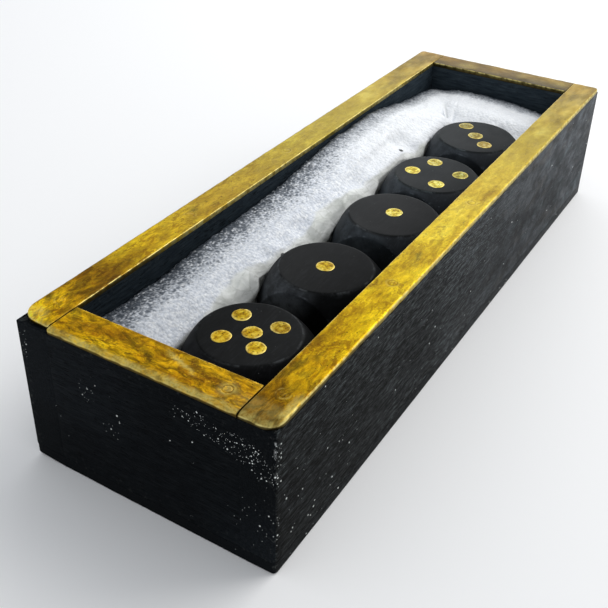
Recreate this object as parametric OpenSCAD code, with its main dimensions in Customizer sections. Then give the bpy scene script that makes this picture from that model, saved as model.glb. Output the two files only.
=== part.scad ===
// Narrow open-topped box of dark wood with a flush brass rim, holding a row of
// five brass-pipped dice bedded in white packing foam.
// Millimetres. +X runs along the box, +Y across it, +Z up. The origin is the
// centre of the footprint, on the surface the box stands on.

/* [Box] */
// Length of the box over the outside
box_l = 150; // [148:1:156]
// Width of the box over the outside
box_w = 49; // [48.6:0.1:52]
// Height of the box, brass included
box_h = 29.5; // [29:0.5:34]
// Thickness of the two long side walls
side_t = 6.4; // [6:0.1:6.6]
// Thickness of the two short end walls
end_t = 7; // [5:0.5:7]
// Thickness of the bottom board
board_t = 2.5; // [2:0.5:4]
// Radius of the upright outer corners
corner_r = 0.6; // [0.4:0.1:1.5]
// Radius of the worn lower edges of the bottom board
foot_r = 0.4; // [0.3:0.1:1.2]

/* [Brass rim] */
// Thickness of the brass strips
strip_t = 1; // [0.8:0.1:1.6]
// Gap at each end of the short strips, where they butt against the long ones
strip_gap = 0.15; // [0.05:0.05:0.4]
// Diameter of the brass pins filed flush with the strips
pin_d = 1.6; // [1.2:0.1:2]
// Length of a brass pin
pin_l = 9; // [5:0.5:12]
// Spacing of the pins along the long strips
pin_pitch = 34; // [30:0.5:34]

/* [Nails] */
// Diameter of the nail heads under the bottom board
nail_head_d = 2.6; // [2:0.1:3]
// Diameter of the nail shanks
nail_d = 1.3; // [1:0.1:1.6]
// Length of a nail
nail_l = 13; // [9:0.5:16]

/* [Dice] */
// Edge length of a die, flat face to flat face
die_a = 19; // [18:0.1:19]
// Radius of the flat round face left on each side after the corners are rounded
face_r = 8.6; // [8.4:0.1:8.8]
// Diameter of a brass pip
pip_d = 3.4; // [3:0.1:3.6]
// Depth of a pip in the die
pip_t = 1.2; // [0.8:0.1:2]
// Distance of the corner pips from the middle of a face, along each edge
pip_off = 3.5; // [3.2:0.1:3.8]

/* [Foam] */
// Thickness of the foam sheet that the dice stand on
base_pad_t = 4.5; // [3:0.5:4.5]
// Height of the crest of the side pad above the ground
side_pad_top = 25.6; // [22:0.2:26]
// Height of the end pad above the ground
end_pad_top = 23.4; // [20:0.2:24]
// Room between the foam and the box walls
foam_gap = 0.3; // [0.2:0.1:0.6]

/* [Hidden] */

wall_top = box_h - strip_t;
in_x = box_l / 2 - end_t;      // inner faces of the end walls
in_y = box_w / 2 - side_t;     // inner faces of the side walls
mid_x = box_l / 2 - end_t / 2;
mid_y = box_w / 2 - side_t / 2;
fit = 0.02;                    // radial room round pins, nails and pips
pad_z = board_t + base_pad_t;  // top of the foam sheet
die_z = pad_z + 0.05 + die_a / 2;
die_R = sqrt(pow(die_a / 2, 2) + pow(face_r, 2)); // sphere that rounds the corners
EPS = 0.01;

WOOD = [0.10, 0.10, 0.11];
WOOD2 = [0.13, 0.13, 0.14];
DIE = [0.16, 0.16, 0.17];
BRASS = [0.78, 0.62, 0.20];
STEEL = [0.45, 0.44, 0.42];
FOAM = [0.93, 0.94, 0.95];

// Middle and yaw of each die
DICE = [[-54.9, -6.45, 2], [-31.0, -6.7, -1.5], [-6.9, -7.85, 0.5], [14.0, -7.5, -5], [37.1, -7.3, 1]];
// Numbers on each die: up, down, +X, -X, +Y, -Y; opposite faces add up to seven
SHOWS = [[5, 2, 6, 1, 4, 3], [1, 6, 5, 2, 4, 3], [1, 6, 4, 3, 2, 5], [4, 3, 6, 1, 2, 5], [3, 4, 6, 1, 5, 2]];
// Pips of the upper faces as drilled, from the middle of the face
TOPS = [[[3.4, 3.9], [-3.25, 3.3], [0.3, -0.3], [3.9, -3.4], [-2.8, -3.1]],
        [[0.1, 0.2]],
        [[0.7, 0]],
        [[-1.05, 4.8], [5.1, 2.4], [2.4, -4.8], [-4.3, -2.2]],
        [[4.3, 4.2], [0.3, 0.2], [-3.3, -3.4]]];
// Turn that brings the top of a die to each of its faces
TURN = [[0, 0, 0], [180, 0, 0], [0, 90, 0], [0, -90, 0], [-90, 0, 0], [90, 0, 0]];

// Hand-drilled places wander a little
function wander(i) = 0.24 * sin(i * 137.5 + 40) + 0.1 * sin(i * 61.3);
function spots(n) =
    n == 1 ? [[0, 0]] :
    n == 2 ? [[-1, 1], [1, -1]] :
    n == 3 ? [[-1, 1], [0, 0], [1, -1]] :
    n == 4 ? [[-1, 1], [1, 1], [-1, -1], [1, -1]] :
    n == 5 ? [[-1, 1], [1, 1], [0, 0], [-1, -1], [1, -1]] :
             [[-1, 1.2], [1, 1.2], [-1, 0], [1, 0], [-1, -1.2], [1, -1.2]];
function places(k, f) = f == 0 ? TOPS[k] :
    let (s = spots(SHOWS[k][f]), w = len(s) == 6 ? 0.5 : 1)
    [for (i = [0:len(s) - 1])
        [s[i][0] * pip_off + w * wander(k * 31 + f * 7 + i),
         s[i][1] * pip_off + w * wander(k * 17 + f * 11 + i * 3 + 5)]];

// Plan of the whole box, upright corners rounded
module plan(grow = 0) {
    r = corner_r + grow;
    x = box_l / 2 + grow;
    y = box_w / 2 + grow;
    union() {
        square([2 * (x - r), 2 * y], center = true);
        square([2 * x, 2 * (y - r)], center = true);
        for (sx = [-1, 1], sy = [-1, 1]) translate([sx * (x - r), sy * (y - r)]) circle(r = r, $fn = 48);
    }
}

// Upright outline of the board: flat top, lower corners rounded
module board_side(w) {
    union() {
        translate([-w / 2, foot_r]) square([w, board_t - foot_r]);
        translate([-w / 2 + foot_r, 0]) square([w - 2 * foot_r, board_t]);
        for (s = [-1, 1]) translate([s * (w / 2 - foot_r), foot_r]) circle(r = foot_r, $fn = 48);
    }
}

// Middles of the rim pins
function pins_at(side) =
    side == "front" ? [for (i = [-2:2]) [i * pin_pitch, -mid_y]] :
    side == "back" ? [for (i = [-2:2]) [i * pin_pitch, mid_y]] :
    side == "near" ? [for (s = [-1, 1]) [-mid_x, s * 14]] :
                     [for (s = [-1, 1]) [mid_x, s * 14]];

// Middles of the nails under the board
NAIL_XY = concat([for (sx = [-3, -1, 1, 3], sy = [-1, 1]) [sx * 21, sy * mid_y]], [for (s = [-1, 1]) [s * mid_x, 0]]);

module pin_holes(side) {
    for (p = pins_at(side)) translate([p[0], p[1], box_h - pin_l - 0.2])
        cylinder(r = pin_d / 2 + fit, h = pin_l + 1, $fn = 32);
}

module nail_holes() {
    for (p = NAIL_XY) translate([p[0], p[1], 0]) {
        translate([0, 0, -1]) cylinder(r = nail_head_d / 2 + fit, h = 1 + 0.7, $fn = 32);
        cylinder(r = nail_d / 2 + fit, h = nail_l + 0.2, $fn = 32);
    }
}

module bottom_board() color(WOOD) difference() {
    intersection() {
        linear_extrude(height = board_t) plan();
        translate([0, box_w / 2 + 1, 0]) rotate([90, 0, 0]) linear_extrude(height = box_w + 2) board_side(box_l);
        translate([-box_l / 2 - 1, 0, 0]) rotate([90, 0, 90]) linear_extrude(height = box_l + 2) board_side(box_w);
    }
    nail_holes();
}

// Long wall, the full length of the box; s = -1 front, 1 back
module side_wall(s, side) color(WOOD) difference() {
    translate([0, 0, board_t]) linear_extrude(height = wall_top - board_t) intersection() {
        plan();
        translate([0, s * mid_y]) square([box_l + 2, side_t], center = true);
    }
    pin_holes(side);
    nail_holes();
}

// Short wall, held between the long ones; s = -1 near, 1 far
module end_wall(s, side) color(WOOD2) difference() {
    translate([s * mid_x, 0, (wall_top + board_t) / 2])
        cube([end_t, 2 * in_y, wall_top - board_t], center = true);
    pin_holes(side);
    nail_holes();
}

// Long brass strip, the full length of the box
module long_strip(s, side) color(BRASS) difference() {
    translate([0, 0, wall_top]) linear_extrude(height = strip_t) intersection() {
        plan();
        translate([0, s * mid_y]) square([box_l + 2, side_t], center = true);
    }
    pin_holes(side);
}

// Short brass strip, butted between the long ones
module short_strip(s, side) color(BRASS) difference() {
    translate([s * mid_x, 0, wall_top + strip_t / 2])
        cube([end_t, 2 * (in_y - strip_gap), strip_t], center = true);
    pin_holes(side);
}

module side_wall_front() side_wall(-1, "front");
module side_wall_back() side_wall(1, "back");
module end_wall_near() end_wall(-1, "near");
module end_wall_far() end_wall(1, "far");
module rim_strip_front() long_strip(-1, "front");
module rim_strip_back() long_strip(1, "back");
module rim_strip_near() short_strip(-1, "near");
module rim_strip_far() short_strip(1, "far");

module rim_pins() color(BRASS) for (side = ["front", "back", "near", "far"], p = pins_at(side))
    translate([p[0], p[1], box_h - pin_l]) cylinder(d = pin_d, h = pin_l, $fn = 32);

module base_nails() color(STEEL) for (p = NAIL_XY) translate([p[0], p[1], 0.05]) union() {
    cylinder(d = nail_head_d, h = 0.6, $fn = 32);
    cylinder(d = nail_d, h = nail_l, $fn = 32);
}

// Foam sheet on the floor of the box
module foam_base_pad() color(FOAM) translate([0, 0, board_t + base_pad_t / 2])
    cube([2 * (in_x - foam_gap), 2 * (in_y - foam_gap), base_pad_t], center = true);

// Foam packed along the back of the dice: rounded crest, falling to the dice
side_pad_y0 = 3.5;
module foam_side_pad() {
    y1 = in_y - foam_gap;
    z0 = pad_z + 0.05;
    r = 3.4;
    color(FOAM) translate([-in_x + foam_gap, 0, 0]) rotate([90, 0, 90])
        linear_extrude(height = 2 * (in_x - foam_gap)) union() {
            translate([side_pad_y0, z0]) square([y1 - side_pad_y0, side_pad_top - r - z0]);
            translate([side_pad_y0 + r, z0]) square([y1 - side_pad_y0 - 2 * r, side_pad_top - z0]);
            translate([side_pad_y0 + r, side_pad_top - r]) circle(r = r, $fn = 64);
            translate([y1 - r, side_pad_top - r]) circle(r = r, $fn = 64);
        }
}

// Foam packed across the far end of the box
module foam_end_pad() {
    x0 = 47.2;
    x1 = in_x - foam_gap;
    z0 = pad_z + 0.05;
    r = 3;
    color(FOAM) translate([0, side_pad_y0 - 0.1, 0]) rotate([90, 0, 0])
        linear_extrude(height = side_pad_y0 - 0.1 + in_y - foam_gap) union() {
            translate([x0, z0]) square([x1 - x0, end_pad_top - r - z0]);
            translate([x0 + r, z0]) square([x1 - x0 - 2 * r, end_pad_top - z0]);
            translate([x0 + r, end_pad_top - r]) circle(r = r, $fn = 64);
            translate([x1 - r, end_pad_top - r]) circle(r = r, $fn = 64);
        }
}

// Puts its children at die k
module at_die(k) translate([DICE[k][0], DICE[k][1], die_z]) rotate([0, 0, DICE[k][2]]) children();

// Places for the pips of die k; the upper face is given square to the box
module on_pips(k, sink) for (f = [0:5]) for (p = places(k, f))
    rotate(TURN[f]) rotate([0, 0, f == 0 ? -DICE[k][2] : f == 3 ? 105 : 0])
        translate([p[0], p[1], die_a / 2 - sink]) children();

// Cube with its corners turned off on a sphere, so each face is a flat disc
module die(k) color(DIE) at_die(k) difference() {
    intersection() {
        cube(die_a, center = true);
        sphere(r = die_R, $fn = 128);
    }
    on_pips(k, pip_t) cylinder(r = pip_d / 2 + fit, h = pip_t + 1, $fn = 32);
}

module pips(k) color(BRASS) at_die(k) on_pips(k, pip_t - EPS) cylinder(d = pip_d, h = pip_t - 2 * EPS, $fn = 32);

module die_1() die(0);
module die_1_pips() pips(0);
module die_2() die(1);
module die_2_pips() pips(1);
module die_3() die(2);
module die_3_pips() pips(2);
module die_4() die(3);
module die_4_pips() pips(3);
module die_5() die(4);
module die_5_pips() pips(4);

bottom_board();
side_wall_front();
side_wall_back();
end_wall_near();
end_wall_far();
rim_strip_front();
rim_strip_back();
rim_strip_near();
rim_strip_far();
rim_pins();
base_nails();
foam_base_pad();
foam_side_pad();
foam_end_pad();
die_1();
die_1_pips();
die_2();
die_2_pips();
die_3();
die_3_pips();
die_4();
die_4_pips();
die_5();
die_5_pips();
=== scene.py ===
import math
import bpy
import bmesh
import numpy as np
from mathutils import Vector, Matrix


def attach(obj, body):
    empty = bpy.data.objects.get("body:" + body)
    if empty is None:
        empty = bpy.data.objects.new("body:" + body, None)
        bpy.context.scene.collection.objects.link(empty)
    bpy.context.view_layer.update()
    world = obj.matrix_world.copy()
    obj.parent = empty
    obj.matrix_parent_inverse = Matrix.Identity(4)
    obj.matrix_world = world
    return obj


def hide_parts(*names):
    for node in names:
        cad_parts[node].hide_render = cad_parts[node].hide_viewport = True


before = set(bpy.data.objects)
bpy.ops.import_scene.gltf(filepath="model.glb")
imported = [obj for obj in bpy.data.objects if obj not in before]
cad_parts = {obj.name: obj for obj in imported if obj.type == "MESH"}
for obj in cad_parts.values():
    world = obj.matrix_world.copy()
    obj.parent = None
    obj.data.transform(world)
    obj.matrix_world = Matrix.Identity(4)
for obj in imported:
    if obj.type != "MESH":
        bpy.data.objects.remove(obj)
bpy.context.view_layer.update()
MM = 0.001

# ------------------------------------------------------------------ camera
AZ, EL, ROLL = math.radians(-59.341), math.radians(32.195), math.radians(1.449)
back = Vector((math.sin(AZ) * math.cos(EL), -math.cos(AZ) * math.cos(EL), math.sin(EL)))
fwd = -back
right = fwd.cross(Vector((0, 0, 1))).normalized()
up = right.cross(fwd)
r2 = right * math.cos(ROLL) + up * math.sin(ROLL)
u2 = -right * math.sin(ROLL) + up * math.cos(ROLL)
cam_data = bpy.data.cameras.new("camera")
cam_data.sensor_width = 36
cam_data.lens = 54.87
cam_data.shift_x = 0.0
cam_data.shift_y = -40 / 608
cam_data.clip_start, cam_data.clip_end = 0.005, 5
cam = bpy.data.objects.new("camera", cam_data)
cam.matrix_world = Matrix((
    (r2.x, u2.x, back.x, -0.1538),
    (r2.y, u2.y, back.y, -0.0749),
    (r2.z, u2.z, back.z, 0.1149),
    (0, 0, 0, 1)))
bpy.context.scene.collection.objects.link(cam)
bpy.context.scene.camera = cam
bpy.context.scene.view_settings.view_transform = "Standard"
bpy.context.scene.view_settings.look = "None"


# ------------------------------------------------------------------ noise
def _h(ix, iy, iz, seed):
    with np.errstate(over="ignore"):
        h = (ix.astype(np.uint32) * np.uint32(374761393)
             + iy.astype(np.uint32) * np.uint32(668265263)
             + iz.astype(np.uint32) * np.uint32(2246822519)
             + np.uint32((seed * 3266489917) & 0xFFFFFFFF))
        h = (h ^ (h >> np.uint32(13))) * np.uint32(1274126177)
        h = (h ^ (h >> np.uint32(16))) * np.uint32(2654435769)
        h = h ^ (h >> np.uint32(15))
    return h.astype(np.float64) / 4294967295.0


def vnoise(p, scale=1.0, seed=0):
    """Smooth value noise in -1..1 at points p (n, 3)."""
    q = np.asarray(p, float) * scale + 1000.0
    i = np.floor(q).astype(np.int64)
    f = q - i
    f = f * f * f * (f * (f * 6 - 15) + 10)
    out = 0.0
    for dx in (0, 1):
        wx = f[:, 0] if dx else 1 - f[:, 0]
        for dy in (0, 1):
            wy = f[:, 1] if dy else 1 - f[:, 1]
            for dz in (0, 1):
                wz = f[:, 2] if dz else 1 - f[:, 2]
                out = out + wx * wy * wz * _h(i[:, 0] + dx, i[:, 1] + dy, i[:, 2] + dz, seed)
    return out * 2 - 1


def fnoise(p, scale=1.0, seed=0, octaves=3, gain=0.5):
    out, amp, tot = 0.0, 1.0, 0.0
    for o in range(octaves):
        out = out + amp * vnoise(p, scale * 2.03 ** o, seed + 17 * o)
        tot += amp
        amp *= gain
    return out / tot


def cells(p, size, seed=0, jitter=0.85):
    """Distances to the two nearest cell points, in cells, and a number from 0 to 1 for the nearest."""
    q = np.asarray(p, float) / size + 1000.0
    i = np.floor(q).astype(np.int64)
    f1 = np.full(len(q), 9.0)
    f2 = np.full(len(q), 9.0)
    who = np.zeros(len(q))
    for dx in (-1, 0, 1):
        for dy in (-1, 0, 1):
            for dz in (-1, 0, 1):
                jx, jy, jz = i[:, 0] + dx, i[:, 1] + dy, i[:, 2] + dz
                c = np.stack([
                    jx + 0.5 + jitter * (_h(jx, jy, jz, seed) - 0.5),
                    jy + 0.5 + jitter * (_h(jx, jy, jz, seed + 1) - 0.5),
                    jz + 0.5 + jitter * (_h(jx, jy, jz, seed + 2) - 0.5)], 1)
                d = np.linalg.norm(q - c, axis=1)
                w = _h(jx, jy, jz, seed + 3)
                closer = d < f1
                f2 = np.where(closer, f1, np.minimum(f2, d))
                who = np.where(closer, w, who)
                f1 = np.where(closer, d, f1)
    return f1, f2, who


def smooth(a, b, x):
    t = np.clip((np.asarray(x, float) - a) / (b - a), 0, 1)
    return t * t * (3 - 2 * t)


# ------------------------------------------------------------------ mesh helpers
def make(name, verts, faces, body, replaces=(), mats=(), attrs=None, smooth_shade=True, sharp=None):
    """A mesh piece from points in millimetres."""
    me = bpy.data.meshes.new(name)
    me.from_pydata([tuple(v) for v in (np.asarray(verts) * MM)], [], [tuple(f) for f in faces])
    me.update()
    if smooth_shade:
        me.polygons.foreach_set("use_smooth", [True] * len(me.polygons))
    for k, v in (attrs or {}).items():
        a = me.attributes.new(k, "FLOAT", "POINT")
        a.data.foreach_set("value", np.asarray(v, np.float32))
    if sharp:
        bm = bmesh.new()
        bm.from_mesh(me)
        for e in bm.edges:
            if len(e.link_faces) == 2 and e.calc_face_angle(0) > math.radians(sharp):
                e.smooth = False
        bm.to_mesh(me)
        bm.free()
    ob = bpy.data.objects.new(name, me)
    bpy.context.scene.collection.objects.link(ob)
    for m in mats:
        me.materials.append(m)
    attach(ob, body)
    if replaces:
        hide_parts(*replaces)
    return ob


def outline(x0, x1, y0, y1, radii, step=1.4, jitter=0.05, seed=0):
    """Closed outline, anticlockwise from the lower left corner. radii: corners (x0,y0), (x1,y0), (x1,y1), (x0,y1)."""
    pts, tags = [], []
    corner = [((x0, y0), 180), ((x1, y0), 270), ((x1, y1), 0), ((x0, y1), 90)]
    sgn = [(1, 1), (-1, 1), (-1, -1), (1, -1)]
    arcs = []
    for (c, a0), s, r in zip(corner, sgn, radii):
        cx, cy = c[0] + s[0] * r, c[1] + s[1] * r
        n = max(3, int(math.ceil(r * 1.57 / 0.35)))
        arcs.append([(cx + r * math.cos(math.radians(a0 + 90 * k / n)), cy + r * math.sin(math.radians(a0 + 90 * k / n))) for k in range(n + 1)])
    for k in range(4):
        pts += arcs[k]
        a, b = arcs[k][-1], arcs[(k + 1) % 4][0]
        d = math.dist(a, b)
        n = max(1, int(round(d / step)))
        pts += [(a[0] + (b[0] - a[0]) * j / n, a[1] + (b[1] - a[1]) * j / n) for j in range(1, n)]
    p = np.array(pts)
    nrm = normals2(p)
    if jitter:
        q = np.c_[p, np.zeros(len(p))]
        d = jitter * (0.7 * vnoise(q, 0.35, seed) + 0.5 * vnoise(q, 1.1, seed + 5))
        p = p - nrm * np.abs(d)[:, None]
    return p, nrm


def normals2(p):
    t = np.roll(p, -1, 0) - np.roll(p, 1, 0)
    t /= np.maximum(np.linalg.norm(t, axis=1), 1e-9)[:, None]
    return np.c_[t[:, 1], -t[:, 0]]


def loft(p, nrm, levels):
    """Rings (inset, z), from the bottom up, with flat ends. Returns points, faces and each point's ring."""
    n = len(p)
    V, ring = [], []
    for k, (inset, z) in enumerate(levels):
        inset = np.broadcast_to(np.asarray(inset, float), (n,))
        z = np.broadcast_to(np.asarray(z, float), (n,))
        q = p - nrm * inset[:, None]
        V.append(np.c_[q, z])
        ring += [k] * n
    V = np.vstack(V)
    F = []
    for k in range(len(levels) - 1):
        a, b = k * n, (k + 1) * n
        for j in range(n):
            F.append((a + j, a + (j + 1) % n, b + (j + 1) % n, b + j))
    F.append(tuple(range(n))[::-1])
    F.append(tuple(range((len(levels) - 1) * n, len(levels) * n)))
    return V, F, np.array(ring)


# ------------------------------------------------------------------ materials
class Mat:
    def __init__(self, name):
        self.m = bpy.data.materials.new(name)
        self.m.use_nodes = True
        self.t = self.m.node_tree
        self.t.nodes.clear()
        self.out = self.t.nodes.new("ShaderNodeOutputMaterial")
        self.b = self.t.nodes.new("ShaderNodeBsdfPrincipled")
        self.t.links.new(self.b.outputs[0], self.out.inputs["Surface"])
        self.co = self.n("ShaderNodeTexCoord").outputs["Object"]

    def n(self, kind, ins=None, **props):
        x = self.t.nodes.new(kind)
        for k, v in props.items():
            setattr(x, k, v)
        for k, v in (ins or {}).items():
            self.put(x.inputs[k], v)
        return x

    def put(self, sock, v):
        if isinstance(v, bpy.types.NodeSocket):
            self.t.links.new(v, sock)
        else:
            sock.default_value = v

    def set(self, **kw):
        for k, v in kw.items():
            self.put(self.b.inputs[k.replace("_", " ")], v)

    def scaled(self, s, rot=(0, 0, 0), loc=(0, 0, 0)):
        """Object coordinates in millimetres times s."""
        s = (s, s, s) if not isinstance(s, (tuple, list)) else s
        return self.n("ShaderNodeMapping", {"Vector": self.co, "Scale": tuple(1000 * v for v in s), "Rotation": rot, "Location": loc}).outputs[0]

    def noise(self, s, scale=1.0, detail=3.0, rough=0.5, distortion=0.0, loc=(0, 0, 0)):
        return self.n("ShaderNodeTexNoise", {"Vector": self.scaled(s, loc=loc), "Scale": scale, "Detail": detail, "Roughness": rough, "Distortion": distortion}).outputs["Fac"]

    def voronoi(self, s, feature="F1", rand=1.0, loc=(0, 0, 0)):
        return self.n("ShaderNodeTexVoronoi", {"Vector": self.scaled(s, loc=loc), "Scale": 1.0, "Randomness": rand}, feature=feature)

    def ramp(self, fac, *stops, mode="LINEAR"):
        x = self.n("ShaderNodeValToRGB", {"Fac": fac})
        cr = x.color_ramp
        cr.interpolation = mode
        while len(cr.elements) > 1:
            cr.elements.remove(cr.elements[-1])
        first = True
        for pos, col in stops:
            if not isinstance(col, (tuple, list)):
                col = (col, col, col)
            if first:
                e = cr.elements[0]
                e.position = pos
                first = False
            else:
                e = cr.elements.new(pos)
            e.color = (*col[:3], 1)
        return x.outputs["Color"]

    def step(self, fac, a, b, lo=0.0, hi=1.0):
        return self.n("ShaderNodeMapRange", {"Value": fac, "From Min": a, "From Max": b, "To Min": lo, "To Max": hi}, interpolation_type="SMOOTHSTEP").outputs[0]

    def math(self, op, a, b=0.0, c=0.0, clamp=False):
        x = self.n("ShaderNodeMath", operation=op, use_clamp=clamp)
        self.put(x.inputs[0], a)
        self.put(x.inputs[1], b)
        if op in ("MULTIPLY_ADD", "WRAP", "COMPARE", "SMOOTH_MIN"):
            self.put(x.inputs[2], c)
        return x.outputs[0]

    def mix(self, fac, a, b, kind="MIX"):
        x = self.n("ShaderNodeMix", data_type="RGBA", blend_type=kind, clamp_factor=True)
        col = lambda v: (*v[:3], 1) if isinstance(v, (tuple, list)) else v
        self.put(x.inputs[0], fac)
        self.put(x.inputs[6], col(a))
        self.put(x.inputs[7], col(b))
        return x.outputs[2]

    def attr(self, name):
        return self.n("ShaderNodeAttribute", attribute_name=name, attribute_type="GEOMETRY").outputs["Fac"]

    def toned(self, col, power=1.0):
        """The colour times the factors carried by the mesh."""
        x = self.n("ShaderNodeCombineColor")
        for k, a in zip(("Red", "Green", "Blue"), ("tr", "tg", "tb")):
            self.put(x.inputs[k], self.attr(a))
        return self.mix(power, col, x.outputs[0], kind="MULTIPLY")

    def xyz(self, s=1000.0):
        v = self.n("ShaderNodeVectorMath", {0: self.co}, operation="SCALE")
        v.inputs["Scale"].default_value = s
        return self.n("ShaderNodeSeparateXYZ", {0: v.outputs[0]}).outputs

    def bump(self, height, dist_mm=0.05, strength=1.0, normal=None):
        x = self.n("ShaderNodeBump", {"Height": height, "Strength": strength, "Distance": dist_mm * MM})
        if normal is not None:
            self.put(x.inputs["Normal"], normal)
        return x.outputs[0]


def brass_material(name, along="x", pips=False):
    m = Mat(name)
    X, Y, Z = m.xyz()
    long_ = (0.45, 1.0, 1.0) if along == "x" else (1.0, 0.45, 1.0)
    sc = lambda v: tuple(v * k for k in long_) if not pips else (v, v, v)
    big = m.noise(sc(0.13), detail=5, rough=0.62, distortion=0.6)
    mid = m.noise(sc(0.55), detail=5, rough=0.62, distortion=0.9, loc=(7, 3, 0))
    fine = m.noise((2.6,) * 3, detail=4, rough=0.65)
    grain = m.noise((0.6 if along == "x" else 7.0, 7.0 if along == "x" else 0.6, 2.0), detail=3, rough=0.6, loc=(1, 9, 2))
    if pips:
        blot = m.noise((1.1,) * 3, detail=4, rough=0.65)
        base = m.ramp(blot, (0.36, (0.26, 0.130, 0.003)), (0.46, (0.50, 0.300, 0.008)), (0.54, (0.66, 0.450, 0.030)), (0.64, (0.80, 0.620, 0.110)))
        dark = m.step(m.noise((1.8,) * 3, detail=4, rough=0.65, loc=(4, 4, 1)), 0.55, 0.64)
        base = m.mix(m.math("MULTIPLY", dark, 0.80), base, (0.070, 0.052, 0.006))
        pit = dark
    else:
        t = m.math("ADD", m.math("ADD", m.math("MULTIPLY", big, 0.45), m.math("MULTIPLY", mid, 0.35)), m.math("MULTIPLY", m.noise(sc(1.1), detail=4, rough=0.6, distortion=0.7, loc=(2, 2, 9)), 0.20))
        calm = m.step(X, 8, 55, 0.0, 0.85)
        soft_t = m.math("ADD", m.math("MULTIPLY", m.noise(sc(0.16), detail=2, rough=0.5, loc=(3, 5, 2)), 0.55), m.math("MULTIPLY", m.noise(sc(0.45), detail=2, rough=0.5, loc=(6, 1, 4)), 0.45))
        t = m.math("ADD", m.math("MULTIPLY", t, m.math("SUBTRACT", 1.0, calm)), m.math("MULTIPLY", soft_t, calm))
        warm = m.ramp(t, (0.40, (0.215, 0.105, 0.002)), (0.46, (0.385, 0.215, 0.003)), (0.51, (0.520, 0.325, 0.006)), (0.57, (0.640, 0.440, 0.028)), (0.62, (0.740, 0.560, 0.090)))
        pale = m.ramp(t, (0.40, (0.400, 0.270, 0.018)), (0.48, (0.560, 0.400, 0.040)), (0.54, (0.660, 0.495, 0.070)), (0.60, (0.720, 0.570, 0.120)))
        far = m.step(m.math("ADD", X, m.math("MULTIPLY", Y, 0.45)), -62, 30)
        base = m.mix(far, warm, pale)
        # faint brushed streaks and paler flecks
        base = m.mix(m.math("MULTIPLY", m.step(grain, 0.52, 0.75), 0.30), base, (0.66, 0.47, 0.055))
        base = m.mix(m.math("MULTIPLY", m.step(fine, 0.60, 0.74), 0.32), base, (0.76, 0.58, 0.09))
        # brown and olive tarnish, strongest near the -X end
        near = m.step(X, 50, -62, 0.08, 1.0)
        tarn = m.math("MULTIPLY", m.step(m.math("ADD", mid, m.math("MULTIPLY", fine, 0.35)), 0.66, 0.80), near)
        base = m.mix(m.math("MULTIPLY", tarn, 0.80), base, (0.210, 0.085, 0.002))
        olive = m.math("MULTIPLY", m.step(m.noise(sc(0.8), detail=6, rough=0.7, distortion=1.2, loc=(3, 11, 5)), 0.56, 0.70), near)
        base = m.mix(m.math("MULTIPLY", olive, 0.60), base, (0.120, 0.085, 0.006))
        # painted marks carried by the mesh
        soft = m.step(fine, 0.25, 0.62, 0.35, 1.0)
        base = m.mix(m.math("MULTIPLY", m.attr("brown"), soft), base, (0.140, 0.055, 0.002))
        base = m.mix(m.math("MULTIPLY", m.attr("dull"), soft), base, (0.115, 0.085, 0.020))
        vor = m.voronoi((1.25,) * 3, loc=(2, 5, 1))
        pick = m.n("ShaderNodeSeparateColor", {0: vor.outputs["Color"]}).outputs[0]
        zone = m.math("ADD", m.attr("pits"), m.math("MULTIPLY", m.step(pick, 0.90, 0.92), 0.9), clamp=True)
        pit = m.math("MULTIPLY", m.step(vor.outputs["Distance"], 0.22, 0.10), zone)
        base = m.mix(m.math("MULTIPLY", pit, 0.85), base, (0.035, 0.022, 0.006))
        # scratches
        scr = m.step(m.noise((0.35, 5.0, 1.0), detail=2, rough=0.5, distortion=1.5, loc=(6, 2, 8)), 0.68, 0.73)
        base = m.mix(m.math("MULTIPLY", scr, 0.35), base, (0.74, 0.60, 0.22))
    edge = m.attr("edge")
    # edges painted pale: worn brass, and a painted edge highlight
    worn_and_highlight = m.math("MULTIPLY", edge, m.step(m.noise((0.9,) * 3, detail=3, loc=(8, 1, 4)), 0.35, 0.62, 0.15, 1.0))
    if not pips:
        # darker and lighter patches
        patchy = m.step(m.noise(sc(0.75), detail=5, rough=0.68, distortion=1.0, loc=(9, 4, 6)), 0.38, 0.62, 0.40, 1.60)
        clouds = m.step(m.noise(sc(0.22), detail=2, rough=0.5, distortion=0.5, loc=(1, 4, 6)), 0.40, 0.60, 0.72, 1.28)
        patchy = m.math("ADD", m.math("MULTIPLY", patchy, m.math("SUBTRACT", 1.0, calm)), m.math("MULTIPLY", clouds, calm))
        base = m.mix(m.step(m.math("ABSOLUTE", m.math("ADD", X, 8.0)), 35, 76, 0.20, 1.0), base, patchy, kind="MULTIPLY")
    base = m.toned(base)
    if not pips:
        base = m.mix(m.math("MULTIPLY", m.math("MULTIPLY", m.attr("pale"), soft), m.step(mid, 0.40, 0.56, 0.45, 1.0)), base, (0.78, 0.65, 0.19))
    base = m.mix(worn_and_highlight, base, (0.78, 0.66, 0.24) if not pips else (0.86, 0.70, 0.22))
    if not pips:
        base = m.mix(m.attr("strip_darkening"), base, (0.034, 0.024, 0.007))
    height = m.math("ADD", m.math("MULTIPLY", fine, 0.45), m.math("MULTIPLY", grain, 0.35))
    height = m.math("ADD", height, m.math("MULTIPLY", mid, 0.8))
    height = m.math("SUBTRACT", height, m.math("MULTIPLY", pit, 0.8))
    if not pips:
        height = m.math("MULTIPLY", height, m.math("SUBTRACT", 1.0, m.math("MULTIPLY", calm, 0.75)))
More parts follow.
